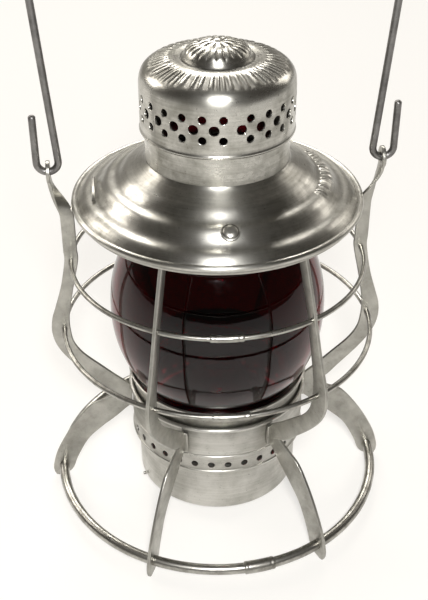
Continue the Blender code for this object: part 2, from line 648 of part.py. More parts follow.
def cog(x, radii, count):
    """Return a section across X whose points alternate between the given radii."""
    points = []
    for index in range(count):
        angle = 2.0 * math.pi * index / count
        radius = radii[index % len(radii)]
        points.append((x, SPINDLE_Y + radius * math.cos(angle), SPINDLE_Z + radius * math.sin(angle)))
    return points


def add_wick_gear():
    """Add the wick, the toothed spindle that feeds it and the spindle's knurled knob."""
    shaft, teeth = (SPINDLE_RADIUS,), (WHEEL_RADIUS, 2.2)
    sections = [(-5.0, shaft), (-2.5, shaft), (-2.5, teeth), (2.5, teeth), (2.5, shaft), (22.0, shaft)]
    spindle = add_object("wick_spindle", lofted([cog(x, radii, 16) for x, radii in sections]), "burner_brass")
    rim = (5.5, 4.9)
    sections = [(22.4, (2.0, 2.0)), (22.9, rim), (25.6, rim), (26.2, (4.0, 4.0))]
    knob = add_object("wick_knob", lofted([cog(x, radii, 20) for x, radii in sections]), "burner_brass")
    pivot("wick_spindle_axis", (0.0, SPINDLE_Y, SPINDLE_Z), [spindle, knob])
    cotton = bmesh.new()
    add_block(cotton, (-6.4, -0.95, 12.0), (6.4, 0.95, 65.0))
    pivot("wick_axis", (0.0, 0.0, SPINDLE_Z), [add_object("wick", cotton, "wick_cotton")])


# --- bail ---------------------------------------------------------------------------------------------
def add_bail():
    """Add the bail: two hooks through the eyes, arms that lean out and a rounded grip."""
    lean = 0.078
    start = EYE_Z + BAIL_HOOK
    hook = [(EYE_RADIUS + BAIL_HOOK, start + 23.0), (EYE_RADIUS + BAIL_HOOK, start + 10.0)]
    hook += arc(EYE_RADIUS, start, BAIL_HOOK, 0.0, -180.0, 8)
    shoulder = 300.0
    inner = EYE_RADIUS - BAIL_HOOK
    hook += [(inner + lean * rise, start + rise) for rise in (6.0, 30.0, 60.0, shoulder - start)]
    wide, tall = inner + lean * (shoulder - start), EYE_Z + BAIL_HEIGHT - shoulder
    arch = [(wide * math.cos(math.radians(angle)), shoulder + tall * math.sin(math.radians(angle)))
            for angle in range(9, 91, 9)]
    half = hook + arch
    points = [Vector((x, 0.0, z)) for x, z in half]
    points += [Vector((-x, 0.0, z)) for x, z in reversed(half[:-1])]
    pivot("bail_axis", (0.0, 0.0, EYE_Z), [wire("bail", points, BAIL_WIRE, "bail_steel")])


def build_lantern():
    """Build the whole lantern in a cleared scene."""
    clear_scene()
    add_frame()
    add_globe()
    add_lid()
    add_fount()
    add_wick_gear()
    add_bail()


build_lantern()
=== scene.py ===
"""Railway hand lantern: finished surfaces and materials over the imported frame, floor, light and camera.

Shapes are worked out in millimetres as whole numpy arrays and put into meshes in metres. An azimuth is
measured from the lantern's front (-Y) towards +X.
"""
import logging
from dataclasses import dataclass, field
from enum import Enum
from typing import Callable, Sequence

import bpy
import numpy as np
from mathutils import Euler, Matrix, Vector


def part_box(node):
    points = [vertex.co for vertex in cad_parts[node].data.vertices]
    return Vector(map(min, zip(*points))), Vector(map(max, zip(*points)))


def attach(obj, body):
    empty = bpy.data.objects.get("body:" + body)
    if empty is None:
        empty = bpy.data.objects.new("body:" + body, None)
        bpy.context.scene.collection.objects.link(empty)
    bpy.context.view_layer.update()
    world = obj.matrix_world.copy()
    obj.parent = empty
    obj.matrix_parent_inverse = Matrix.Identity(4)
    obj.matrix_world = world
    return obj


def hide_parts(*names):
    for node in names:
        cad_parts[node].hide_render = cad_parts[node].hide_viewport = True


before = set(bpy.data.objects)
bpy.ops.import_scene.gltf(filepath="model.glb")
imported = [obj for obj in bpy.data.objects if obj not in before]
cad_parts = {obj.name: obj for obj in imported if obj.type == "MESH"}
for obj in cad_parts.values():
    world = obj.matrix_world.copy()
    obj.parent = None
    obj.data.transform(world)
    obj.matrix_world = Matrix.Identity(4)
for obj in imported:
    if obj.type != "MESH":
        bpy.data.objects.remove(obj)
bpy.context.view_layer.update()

MM = 0.001
LOG = logging.getLogger("lantern")
Array = np.ndarray
Relief = Callable[[Array, Array, Array], Array]
X_AXIS, Y_AXIS, Z_AXIS = np.eye(3)
# Places in mm that several pieces share: a bail eye, the lid's hinge pin and cone, and the wick spindle.
EYE_RADIUS, EYE_HEIGHT = 77.3, 185.0
HINGE_PIN = (0.0, 70.5, 165.5)
LID_SLOPE = 0.59
SPINDLE = (0.0, 4.2, 54.0)


class Slot(Enum):
    """The record's material slots."""

    TIN = "tinned_steel"
    STRIP = "strip_steel"
    BAIL = "bail_steel"
    GLASS = "ruby_glass"
    BRASS = "burner_brass"
    WICK = "wick_cotton"


# --- surfaces -----------------------------------------------------------------------------------------
@dataclass
class Surface:
    """A mesh in millimetres: points, four-sided and three-sided faces, and bend per point.

    `bend` is above zero on outer edges, where metal wears bright, and below zero in hollows, where grime
    stays; relief crevices and a sheet's inner face are set below zero too, and their darkening is painted
    shade.
    """

    points: Array
    quads: Array
    triangles: Array = field(default_factory=lambda: np.zeros((0, 3), int))
    bend: Array | None = None

    def bends(self) -> Array:
        """Return the bend of every point."""
        return np.zeros(len(self.points)) if self.bend is None else self.bend


def stack(*columns: Array | float) -> Array:
    """Return rows made of the given columns; a single number is repeated."""
    return np.stack(np.broadcast_arrays(*columns), axis=-1)


def join(parts: Sequence[Surface]) -> Surface:
    """Put several surfaces into one.

    Args:
        parts: the surfaces, in any order.
    Returns:
        One surface with every point and face.
    """
    starts = np.cumsum([0] + [len(part.points) for part in parts[:-1]])
    return Surface(
        np.concatenate([part.points for part in parts]),
        np.concatenate([part.quads + start for part, start in zip(parts, starts)]),
        np.concatenate([part.triangles + start for part, start in zip(parts, starts)]),
        np.concatenate([part.bends() for part in parts]))


def outward(surface: Surface) -> Surface:
    """Return a closed surface with its faces outwards, judged by its signed volume.

    Args:
        surface: a closed surface.
    Returns:
        The surface, or a copy with every face turned round.
    """
    first, second, third, fourth = (surface.points[surface.quads[:, index]] for index in range(4))
    volume = (np.cross(first, second) * third).sum() + (np.cross(first, third) * fourth).sum()
    if len(surface.triangles):
        a, b, c = (surface.points[surface.triangles[:, index]] for index in range(3))
        volume += (np.cross(a, b) * c).sum()
    if volume > 0.0:
        return surface
    return Surface(surface.points, surface.quads[:, ::-1], surface.triangles[:, ::-1], surface.bend)


def grid_quads(rows: int, columns: int, wrap_rows: bool, wrap_columns: bool) -> Array:
    """Return the faces of a grid of points numbered row by row.

    Each face takes a point, its right neighbour, the point above that one and the point above itself.

    Args:
        rows, columns: the grid's size in points.
        wrap_rows, wrap_columns: whether the last row or column joins the first.
    Returns:
        Four point numbers for each face.
    """
    row, column = np.meshgrid(np.arange(rows if wrap_rows else rows - 1),
                              np.arange(columns if wrap_columns else columns - 1), indexing="ij")
    above, right = (row + 1) % rows, (column + 1) % columns
    return stack(row * columns + column, row * columns + right, above * columns + right,
                 above * columns + column).reshape(-1, 4)


def skin(rings: Array, bends: Array, ends: Array | None = None) -> Surface:
    """Span faces over rings of points and turn them outwards.

    Args:
        rings: points by ring and by side.
        bends: the bend of every point.
        ends: two points that close an open tube with a fan each; without them the last ring joins the first.
    Returns:
        The closed surface.
    """
    count, sides = rings.shape[:2]
    points, quads = rings.reshape(-1, 3), grid_quads(count, sides, ends is None, True)
    if ends is None:
        return outward(Surface(points, quads, bend=bends))
    ring = np.arange(sides)
    after, far, pole = (ring + 1) % sides, (count - 1) * sides, count * sides
    triangles = np.concatenate([stack(after, ring, pole), stack(far + ring, far + after, pole + 1)])
    return outward(Surface(np.concatenate([points, ends]), quads, triangles, np.append(bends, [0.0, 0.0])))


def round_points(radius: Array | float, azimuth: Array, height: Array | float) -> Array:
    """Turn radius, azimuth in radians and height into points: (r sin a, -r cos a, z)."""
    return stack(radius * np.sin(azimuth), -radius * np.cos(azimuth), height)


def arc(radius: float, height: float, bend: float, start: float, end: float, steps: int) -> Array:
    """Return points on a circle of radius `bend` round (radius, height), both ends included.

    Args:
        radius, height: the middle of the circle.
        bend: its radius.
        start, end: angles in degrees.
        steps: how many stretches lie between them.
    Returns:
        Points of (radius, height).
    """
    angle = np.radians(np.linspace(start, end, steps + 1))
    return stack(radius + bend * np.cos(angle), height + bend * np.sin(angle))


def smooth(keys: Sequence[Sequence[float]], steps: int) -> Array:
    """Return points on the Catmull-Rom curve through the keys.

    On each stretch the point is the cubic blend of the four nearest keys that passes through the inner
    two with the slope of their neighbours' chord.

    Args:
        keys: the points to pass through.
        steps: how many points to give each stretch.
    Returns:
        The points, the last key included.
    """
    key = np.asarray(keys, float)
    before = np.concatenate([key[:1] * 2.0 - key[1:2], key[:-2]])
    after = np.concatenate([key[2:], key[-1:] * 2.0 - key[-2:-1]])
    here, there = key[:-1], key[1:]
    t = (np.arange(steps) / steps)[None, :, None]
    b, h, n, a = (item[:, None, :] for item in (before, here, there, after))
    curve = 0.5 * (2.0 * h + (n - b) * t + (2.0 * b - 5.0 * h + 4.0 * n - a) * t ** 2
                   + (3.0 * h - b - 3.0 * n + a) * t ** 3)
    return np.concatenate([curve.reshape(-1, key.shape[1]), key[-1:]])


def soften(outline: Array, reach: float, steps: int = 4, closed: bool = True) -> Array:
    """Round an outline's corners: each becomes a quadratic curve that starts `reach` away on both sides.

    Args:
        outline: the corners in order.
        reach: how far from the corner the curve starts, at most just under half a side.
        steps: how many points each rounded corner gets, less one.
        closed: whether the last corner joins the first; an open outline keeps its two ends.
    Returns:
        The rounded outline.
    """
    corner = np.asarray(outline, float)
    before, after = np.roll(corner, 1, axis=0), np.roll(corner, -1, axis=0)

    def toward(other: Array) -> Array:
        """Return the point `reach` from each corner towards another one."""
        gap = other - corner
        length = np.linalg.norm(gap, axis=1, keepdims=True)
        return corner + gap * np.minimum(reach, 0.45 * length) / length

    first, last = toward(before)[:, None, :], toward(after)[:, None, :]
    t = np.linspace(0.0, 1.0, steps + 1)[None, :, None]
    curve = (1.0 - t) ** 2 * first + 2.0 * t * (1.0 - t) * corner[:, None, :] + t ** 2 * last
    if closed:
        return curve.reshape(-1, 2)
    return np.concatenate([corner[:1], curve[1:-1].reshape(-1, 2), corner[-1:]])


def outline_bend(outline: Array, closed: bool) -> Array:
    """Return how sharply an outline turns at each point, from -1 in a hollow to 1 on an edge.

    The turn angle over the mean length of its two sides gives the curvature, which is scaled by a 0.8 mm
    edge and spread over the neighbours.

    Args:
        outline: points in order.
        closed: whether the last one joins the first.
    Returns:
        One number for each point.
    """
    into = outline - np.roll(outline, 1, axis=0)
    out = np.roll(outline, -1, axis=0) - outline
    turn = np.arctan2(into[:, 0] * out[:, 1] - into[:, 1] * out[:, 0], (into * out).sum(axis=1))
    side = 0.5 * (np.linalg.norm(into, axis=1) + np.linalg.norm(out, axis=1)) + 1e-6
    bend = np.clip(0.8 * turn / side, -1.0, 1.0)
    if not closed:
        bend[0] = bend[-1] = 0.0
    for _ in range(2):
        bend = 0.5 * bend + 0.25 * (np.roll(bend, 1) + np.roll(bend, -1))
    return bend


def on_axis(point: Array) -> bool:
    """Say whether an outline's point lies on the axis."""
    return bool(abs(point[0]) < 1e-6)


def revolve(outline: Array, columns: int = 160, relief: Relief | None = None,
            centre: tuple[float, float] = (0.0, 0.0)) -> Surface:
    """Turn an outline of (radius, height) points once round the vertical axis.

    A point of the surface is (r sin a, -r cos a, z), with relief added to its height. An outline that
    starts and ends on the axis gets one point and a fan of triangles at each pole; any other is a closed
    loop, which becomes a ring.

    Args:
        outline: the points of one half section.
        columns: how many facets go round.
        relief: height in mm to add, from azimuth in radians, radius and height.
        centre: where the axis stands.
    Returns:
        The closed surface.
    """
    outline = np.asarray(outline, float)
    area = np.sum(outline[:, 0] * np.roll(outline[:, 1], -1) - np.roll(outline[:, 0], -1) * outline[:, 1])
    outline = outline if area > 0.0 else outline[::-1]
    solid = on_axis(outline[0]) and on_axis(outline[-1])
    rows, bend = outline, outline_bend(outline, closed=not solid)
    if solid:
        rows, bend = rows[1:-1], bend[1:-1]
    azimuth = 2.0 * np.pi * np.arange(columns) / columns
    radius, height = rows[:, :1], rows[:, 1:]
    turn = np.broadcast_to(azimuth, (len(rows), columns))
    lifted = height + (relief(turn, radius, height) if relief else 0.0 * turn)
    place = np.array([*centre, 0.0])
    poles = stack(0.0, 0.0, outline[[0, -1], 1]) + place if solid else None
    return skin(round_points(radius, turn, lifted) + place, np.repeat(bend, columns), poles)


def bar_section(width: Array, thickness: Array, radius: float, steps: int = 3) -> tuple[Array, Array]:
    """Return rounded rectangles, one for each width, and their bend.

    Each corner is a quarter circle of the given radius round a centre that lies the radius inside.

    Args:
        width, thickness: one value for each section.
        radius: of the corners.
        steps: how many points each corner gets, less one.
    Returns:
        The sections and the bend of one section's points.
    """
    angle = np.radians(np.concatenate([np.linspace(start, start + 90.0, steps + 1)
                                       for start in (0.0, 90.0, 180.0, 270.0)]))
    side_x = np.repeat([1.0, -1.0, -1.0, 1.0], steps + 1)
    side_y = np.repeat([1.0, 1.0, -1.0, -1.0], steps + 1)
    limit = np.minimum(radius, 0.49 * np.minimum(width, thickness))[:, None]
    x = side_x * (width[:, None] / 2.0 - limit) + limit * np.cos(angle)
    y = side_y * (thickness[:, None] / 2.0 - limit) + limit * np.sin(angle)
    middle = np.tile(np.sin(np.linspace(0.0, np.pi, steps + 1)), 4)
    return stack(x, y), 0.4 + 0.6 * middle


def round_section(radius: Array, sides: int = 20) -> Array:
    """Return circles, one for each radius."""
    angle = 2.0 * np.pi * np.arange(sides) / sides
    return radius[:, None, None] * stack(np.cos(angle), np.sin(angle))[None]


def carry(path: Array, section: Array, side: Array, closed: bool = False,
          bend: Array | None = None) -> Surface:
    """Carry a section along a path.

    At each point of the path the section's x runs along `side`, made square to the path, and its y along
    the cross product of the path's direction and that side.

    Args:
        path: points in order.
        section: one closed section for every point of the path.
        side: one vector for all, or one for every point.
        closed: whether the path is a ring; an open one gets a fan at each end.
        bend: the bend of a section's points.
    Returns:
        The closed surface.
    """
    count, sides = section.shape[:2]
    if closed:
        along = np.roll(path, -1, axis=0) - np.roll(path, 1, axis=0)
    else:
        along = np.gradient(path, axis=0)
    along /= np.linalg.norm(along, axis=1, keepdims=True)
    side = np.broadcast_to(side, path.shape)
    across = side - (side * along).sum(axis=1, keepdims=True) * along
    across /= np.linalg.norm(across, axis=1, keepdims=True)
    up = np.cross(along, across)
    rings = path[:, None] + across[:, None] * section[..., :1] + up[:, None] * section[..., 1:]
    bends = np.tile(bend if bend is not None else np.zeros(sides), count)
    return skin(rings, bends, None if closed else path[[0, -1]])


def flat_bar(path: Array, width: Array | float, thickness: float, edge: float,
             side: Array = X_AXIS) -> Surface:
    """Carry a rounded rectangle along a path.

    Args:
        path: points in order.
        width: along `side`, one for all or one for every point.
        thickness: square to the width.
        edge: radius of the long edges.
        side: the direction of the width.
    Returns:
        The closed bar.
    """
    count = len(path)
    section, bend = bar_section(np.broadcast_to(width, count), np.full(count, thickness), edge)
    return carry(path, section, side, bend=bend)


@dataclass(frozen=True)
class Hole:
    """A round hole in a turned sheet: its place and clearing on the sheet's grid, and its radius."""

    row: int
    column: int
    half_rows: int
    half_columns: int
    radius: float


def punched_sheet(outer: Array, inner: Array, columns: int, holes: Sequence[Hole],
                  relief: Relief | None = None, start: float = 0.0) -> Surface:
    """Turn a thin sheet round the axis and punch round holes through it.

    Both faces are grids of rows by columns. Round each hole a block of faces is left out, and rings of
    points blend from the block's edge (a rectangle) to the hole's edge (a circle), in grid coordinates
    that the outlines then turn into radius and height. A wall joins the two faces' hole edges, and the
    last ring sinks a little, as a punch leaves it. The inner face counts as a hollow, which paints it dark:
    painted shade, and soot as well on the smoke dome over the flame. Low places of the relief are painted
    darker too, as shade in the pressed crevices.

    Args:
        outer, inner: the two faces' outlines, point for point.
        columns: how many facets go round.
        holes: the holes.
        relief: height to add, from azimuth, radius and height.
        start: azimuth of column 0, in degrees.
    Returns:
        The closed sheet.
    """
    rows = len(outer)
    capped = on_axis(outer[-1])
    solid_rows = rows - 1 if capped else rows
    row, column = np.meshgrid(np.arange(solid_rows, dtype=float), np.arange(columns, dtype=float),
                              indexing="ij")
    places = [stack(row.ravel(), column.ravel())]
    keep = np.ones((solid_rows - 1, columns), bool)
    quads, rims, count = [], [], solid_rows * columns
    for hole in holes:
        r0, r1 = hole.row - hole.half_rows, hole.row + hole.half_rows
        c0, c1 = hole.column - hole.half_columns, hole.column + hole.half_columns
        keep[r0:r1, np.arange(c0, c1) % columns] = False
        wide, high = c1 - c0, r1 - r0
        edge_row = np.concatenate([np.full(wide, r0), np.arange(r0, r1), np.full(wide, r1),
                                   np.arange(r1, r0, -1)])
        edge_column = np.concatenate([np.arange(c0, c1), np.full(high, c1), np.arange(c1, c0, -1),
                                      np.full(high, c0)])
        width = 2.0 * np.pi * outer[hole.row, 0] / columns
        tall = np.linalg.norm(outer[hole.row + 1] - outer[hole.row])
        angle = np.arctan2((edge_row - hole.row) * tall, (edge_column - hole.column) * width)
        circle = stack(hole.row + hole.radius * np.sin(angle) / tall,
                       hole.column + hole.radius * np.cos(angle) / width)
        edge = stack(edge_row, edge_column).astype(float)
        loop = edge_row * columns + edge_column % columns
        size = len(loop)
        for share in (0.45, 0.8, 1.0):
            places.append(edge + share * (circle - edge))
            ring = count + np.arange(size)
            quads.append(stack(loop, np.roll(loop, -1), np.roll(ring, -1), ring))
            loop, count = ring, count + size
        rims.append(loop)
    place = np.concatenate(places)
    turn = 2.0 * np.pi * place[:, 1] / columns
    base = grid_quads(solid_rows, columns, False, True)[keep.ravel()]
    face = np.concatenate([base] + quads)
    rim_points = np.concatenate(rims)

    def along(values: Array) -> Array:
        """Read one value per row at every grid coordinate."""
        return np.interp(place[:, 0], np.arange(rows), values)

    def lay(outline: Array, sink: float) -> Array:
        """Turn grid coordinates into points on one face's outline."""
        radius, height = along(outline[:, 0]), along(outline[:, 1])
        azimuth = np.radians(start) + turn
        radius[rim_points] -= sink
        if relief:
            height = height + relief(azimuth, radius, height)
        return round_points(radius, azimuth, height)

    front, back = lay(outer, 0.12), lay(inner, 0.0)
    bend = along(outline_bend(outer, closed=False))
    if relief:
        # Low places of the relief lower the bend: painted shade in the pressed crevices.
        bend = bend + np.clip(3.0 * relief(turn, along(outer[:, 0]), along(outer[:, 1])), -0.9, 0.1)
    bend[rim_points] = 0.8
    count = len(front)
    walls = [stack(np.roll(rim, -1) + count, rim + count, rim, np.roll(rim, -1)) for rim in rims]
    ring = np.arange(columns)
    after = (ring + 1) % columns
    walls.append(stack(after, ring, ring + count, after + count))
    points = np.concatenate([front, back])
    # The inner face gets the lowest bend: painted shade, and soot as well on the dome over the flame.
    bends = np.concatenate([bend, np.full(count, -1.0)])
    triangles = np.zeros((0, 3), int)
    top = (solid_rows - 1) * columns
    if capped:
        crown = relief(np.zeros(1), np.zeros(1), outer[-1:, 1]) if relief else np.zeros(1)
        poles = stack(0.0, 0.0, np.array([outer[-1, 1], inner[-1, 1]]) + crown)
        points, bends = np.concatenate([points, poles]), np.append(bends, [0.0, 0.0])
        triangles = np.concatenate([stack(top + ring, top + after, 2 * count),
                                    stack(top + after + count, top + ring + count, 2 * count + 1)])
    else:
        walls.append(stack(top + ring, top + after, top + after + count, top + ring + count))
    return outward(Surface(points, np.concatenate([face, face[:, ::-1] + count] + walls), triangles, bends))


def offset_inwards(outline: Array, thickness: float) -> Array:
    """Return an upward outline moved to its left, which is towards the axis, by a sheet's thickness.

    Args:
        outline: points of (radius, height), upwards.
        thickness: of the sheet.
    Returns:
        The moved points.
    """
    along = np.gradient(outline, axis=0)
    along /= np.linalg.norm(along, axis=1, keepdims=True)
    moved = outline + thickness * stack(-along[:, 1], along[:, 0])
    if on_axis(outline[-1]):
        moved[-1] = (0.0, outline[-1, 1] - thickness)
    return moved


def turned_about(surface: Surface, axis: str, angle: float, place: Sequence[float]) -> Surface:
    """Turn a surface about a world axis by an angle in degrees, then carry it to a place.

    Args:
        surface: what to turn.
        axis: X, Y or Z.
        angle: in degrees.
        place: where the origin goes.
    Returns:
        A moved copy.
    """
    turn = np.array(Euler([np.radians(angle) if axis == name else 0.0 for name in "XYZ"]).to_matrix())
    return Surface(surface.points @ turn.T + np.asarray(place, float), surface.quads, surface.triangles,
                   surface.bend)


def smoothstep(low: float, high: float, value: Array) -> Array:
    """Ease from 0 at low to 1 at high: 3t^2 - 2t^3."""
    t = np.clip((value - low) / (high - low), 0.0, 1.0)
    return t * t * (3.0 - 2.0 * t)


def to_azimuth(surface: Surface, azimuth: float) -> Surface:
    """Carry a surface made with x outwards and y along the rim round to an azimuth in degrees.

    Args:
        surface: what to turn.
        azimuth: in degrees.
    Returns:
        A moved copy.
    """
    angle = np.radians(azimuth)
    out = np.array([np.sin(angle), -np.cos(angle), 0.0])
    rim = np.array([np.cos(angle), np.sin(angle), 0.0])
    x, y, z = surface.points.T[..., None]
    return Surface(x * out + y * rim + z * Z_AXIS, surface.quads, surface.triangles, surface.bend)


def ribbon(inner: Array, outer: Array, thickness: float, edge: float, turn: Array | None = None) -> Surface:
    """Span two edge curves in the radial plane with a rounded bar.

    At each step the bar's width runs from the inner point to the outer one and its thickness along the
    rim. A turn rotates both about the vertical through the bar's middle.

    Args:
        inner, outer: matching (radius, height) points.
        thickness: of the strip.
        edge: radius of the long edges.
        turn: angle at each step, in radians.
    Returns:
        The closed bar.
    """
    middle, span = (inner + outer) / 2.0, outer - inner
    width = np.linalg.norm(span, axis=1)
    section, bend = bar_section(width, np.full(len(width), thickness), edge)
    turn = np.zeros(len(width)) if turn is None else turn
    unit = span / width[:, None]
    wide = stack(unit[:, 0] * np.cos(turn), unit[:, 0] * np.sin(turn), unit[:, 1])
    thick = stack(-np.sin(turn), np.cos(turn), 0.0)
    centre = stack(middle[:, 0], 0.0, middle[:, 1])
    rings = centre[:, None] + wide[:, None] * section[..., :1] + thick[:, None] * section[..., 1:]
    return skin(rings, np.tile(bend, len(rings)), centre[[0, -1]])


def rod(radius: float, start: float, end: float, place: Sequence[float]) -> Surface:
    """Return a round rod with eased ends that lies along X through a place."""
    outline = soften([(0.0, start), (radius, start), (radius, end), (0.0, end)], 0.25, closed=False)
    return turned_about(revolve(outline, 48), "Y", 90.0, place)


# --- materials ----------------------------------------------------------------------------------------
def linear(code: str) -> tuple[float, float, float, float]:
    """Turn an sRGB hex colour into a linear one with full alpha.

    Args:
        code: the colour as #rrggbb.
    Returns:
        Red, green, blue and alpha.
    """
    value = np.array([int(code[index:index + 2], 16) for index in (1, 3, 5)]) / 255.0
    value = np.where(value <= 0.04045, value / 12.92, ((value + 0.055) / 1.055) ** 2.4)
    return (*(float(item) for item in value), 1.0)


def feed(tree: bpy.types.NodeTree, node: bpy.types.Node, inputs: dict | Sequence) -> None:
    """Set a node's inputs, each from a value, from an output socket or from another node's first output.

    Args:
        tree: the node tree that both nodes are in.
        node: the node to feed.
        inputs: the sources by socket name or number, or in the order of the sockets.
    """
    for name, source in inputs.items() if isinstance(inputs, dict) else enumerate(inputs):
        if isinstance(source, bpy.types.Node):
            source = source.outputs[0]
        if isinstance(source, bpy.types.NodeSocket):
            tree.links.new(source, node.inputs[name])
        else:
            node.inputs[name].default_value = source


def add_node(tree: bpy.types.NodeTree, kind: str, inputs: dict | Sequence = (),
             **settings: object) -> bpy.types.Node:
    """Add one shader node.

    Args:
        tree: the node tree.
        kind: the node's type after "ShaderNode".
        inputs: what feeds it.
        settings: the node's own properties.
    Returns:
        The node.
    """
    node = tree.nodes.new("ShaderNode" + kind)
    for name, value in settings.items():
        setattr(node, name, value)
    feed(tree, node, inputs)
    return node


def per_mm(size: float) -> float:
    """Return the texture scale that makes the largest features about `size` millimetres."""
    return 1.0 / (size * MM)


def new_material(name: str) -> tuple[bpy.types.Material, bpy.types.NodeTree, bpy.types.Node]:
    """Return a new material, its node tree and its main shader.

    Args:
        name: the material and its process.
    Returns:
        The three of them.
    """
    material = bpy.data.materials.new(name)
    material.use_nodes = True
    return material, material.node_tree, material.node_tree.nodes["Principled BSDF"]


@dataclass(frozen=True)
class Metal:
    """A worked metal: its clean and dull colour, its grime and painted shade, how rough it is and how it was
    polished.

    Attributes:
        name: the metal and its process.
        bright, dull, grime_and_shade: sRGB colours; the last is grime and also painted shade.
        smooth, rough: roughness of its brightest and dullest places.
        lay: size in mm of the polishing marks along x, y and z.
        cloud: size in mm of the tarnish clouds.
        grain: depth in mm of the fine surface grain.
        wear: how far worn edges brighten, 0 to 1.
        spun: anisotropy of marks that run round the axis; they draw a highlight out along the profile.
    """

    name: str
    bright: str
    dull: str
    grime_and_shade: str
    smooth: float
    rough: float
    lay: tuple[float, float, float]
    cloud: float = 16.0
    grain: float = 0.02
    wear: float = 0.5
    spun: float = 0.0

    def material(self) -> bpy.types.Material:
        """Build the material: clouds and polishing marks mix the colours, bends add wear, grime and painted
        shade.

        The darkening is the hollows' grime, uneven with the clouds, or a speck, whichever is more; in relief
        crevices and on inner faces it is painted shade. Two bumps bend the reflections: shallow hammer-like
        waves 11 mm across, and the fine grain.
        """
        material, tree, shader = new_material(self.name)
        place = add_node(tree, "TexCoord").outputs["Object"]
        clouds = add_node(tree, "TexNoise", {"Vector": place, "Scale": per_mm(self.cloud), "Detail": 6.0,
                                             "Roughness": 0.65})
        lay = [per_mm(size) for size in self.lay]
        stretched = add_node(tree, "Mapping", {"Vector": place, "Scale": lay})
        marks = add_node(tree, "TexNoise", {"Vector": stretched, "Scale": 1.0, "Detail": 3.0,
                                            "Roughness": 0.7})
        # Specks of 0.9 mm are coarser than real pits, so that they still show.
        grit = add_node(tree, "TexNoise", {"Vector": place, "Scale": per_mm(0.9), "Detail": 2.0})
        waves = add_node(tree, "TexNoise", {"Vector": place, "Scale": per_mm(11.0), "Detail": 1.0})
        bend = add_node(tree, "Attribute", attribute_name="bend").outputs["Fac"]
        # Hollows darken: grime in the profile's hollows, painted shade in relief crevices and on inner faces.
        hollow = add_node(tree, "MapRange", [bend, -0.03, -0.55])
        worn = add_node(tree, "MapRange", [bend, 0.2, 0.9, 0.0, self.wear])
        patch = add_node(tree, "MapRange", [clouds, 0.40, 0.62])
        streak = add_node(tree, "MapRange", [marks, 0.35, 0.7])
        clouded = add_node(tree, "Math", [patch, 0.65], operation="MULTIPLY")
        dulling = add_node(tree, "Math", [streak, 0.35, clouded], operation="MULTIPLY_ADD")
        speck = add_node(tree, "MapRange", [grit, 0.66, 0.78, 0.0, 0.6])
        uneven = add_node(tree, "Math", [clouds, 1.5], operation="MULTIPLY", use_clamp=True)
        settled_grime_and_shade = add_node(tree, "Math", [hollow, uneven], operation="MULTIPLY")
        dirt_and_shade = add_node(tree, "Math", [settled_grime_and_shade, speck], operation="MAXIMUM", use_clamp=True)
        colour = add_node(tree, "MixRGB", [dulling, linear(self.bright), linear(self.dull)])
        # Mix towards the grime colour, which is also painted shade in crevices and on inner faces.
        colour = add_node(tree, "MixRGB", [dirt_and_shade, colour, linear(self.grime_and_shade)])
        colour = add_node(tree, "MixRGB", [worn, colour, linear(self.bright)])
        rough = add_node(tree, "MapRange", [dulling, 0.0, 1.0, self.smooth, self.rough])
        rough = add_node(tree, "Math", [dirt_and_shade, 0.25, rough], operation="MULTIPLY_ADD")
        height = add_node(tree, "Math", [grit, 0.5, marks], operation="MULTIPLY_ADD")
        dents = add_node(tree, "Bump", {"Strength": 0.5, "Distance": 0.35 * MM, "Height": waves})
        bump = add_node(tree, "Bump", {"Strength": 0.4, "Distance": self.grain * MM, "Height": height,
                                       "Normal": dents})
        feed(tree, shader, {"Base Color": colour, "Roughness": rough, "Normal": bump, "Metallic": 1.0})
        if self.spun:
            round_axis = add_node(tree, "Tangent", direction_type="RADIAL", axis="Z")
            feed(tree, shader, {"Tangent": round_axis, "Anisotropic": self.spun,
                                "Anisotropic Rotation": 0.25})
        return material


@dataclass(frozen=True)
class RubyGlass:
    """Selenium ruby glass, mould blown: deep red through, with a faint waviness and mould haze.

    Attributes:
        name: the material and its process.
        colour: sRGB tint of one wall.
        roughness, hazed: roughness where it is clear and where it is hazy.
        ior: refractive index of the hazy surface.
    """

    name: str = "blown_ruby_glass"
    colour: str = "#540611"
    roughness: float = 0.035
    hazed: float = 0.11
    ior: float = 1.38

    def material(self) -> bpy.types.Material:
        """Build the glass: full transmission, red tint, waves 14 mm long that bend the reflections."""
        material, tree, shader = new_material(self.name)
        place = add_node(tree, "TexCoord").outputs["Object"]
        waves = add_node(tree, "TexNoise", {"Vector": place, "Scale": per_mm(14.0), "Detail": 1.0})
        haze = add_node(tree, "TexNoise", {"Vector": place, "Scale": per_mm(5.0), "Detail": 3.0})
        rough = add_node(tree, "MapRange", [haze, 0.45, 0.75, self.roughness, self.hazed])
        bump = add_node(tree, "Bump", {"Strength": 0.25, "Distance": 0.3 * MM, "Height": waves})
        # Below real glass, because the thin film of haze on an old globe takes gloss off it.
        feed(tree, shader, {"Base Color": linear(self.colour), "Transmission Weight": 1.0, "IOR": self.ior,
                            "Roughness": rough, "Normal": bump})
        return material


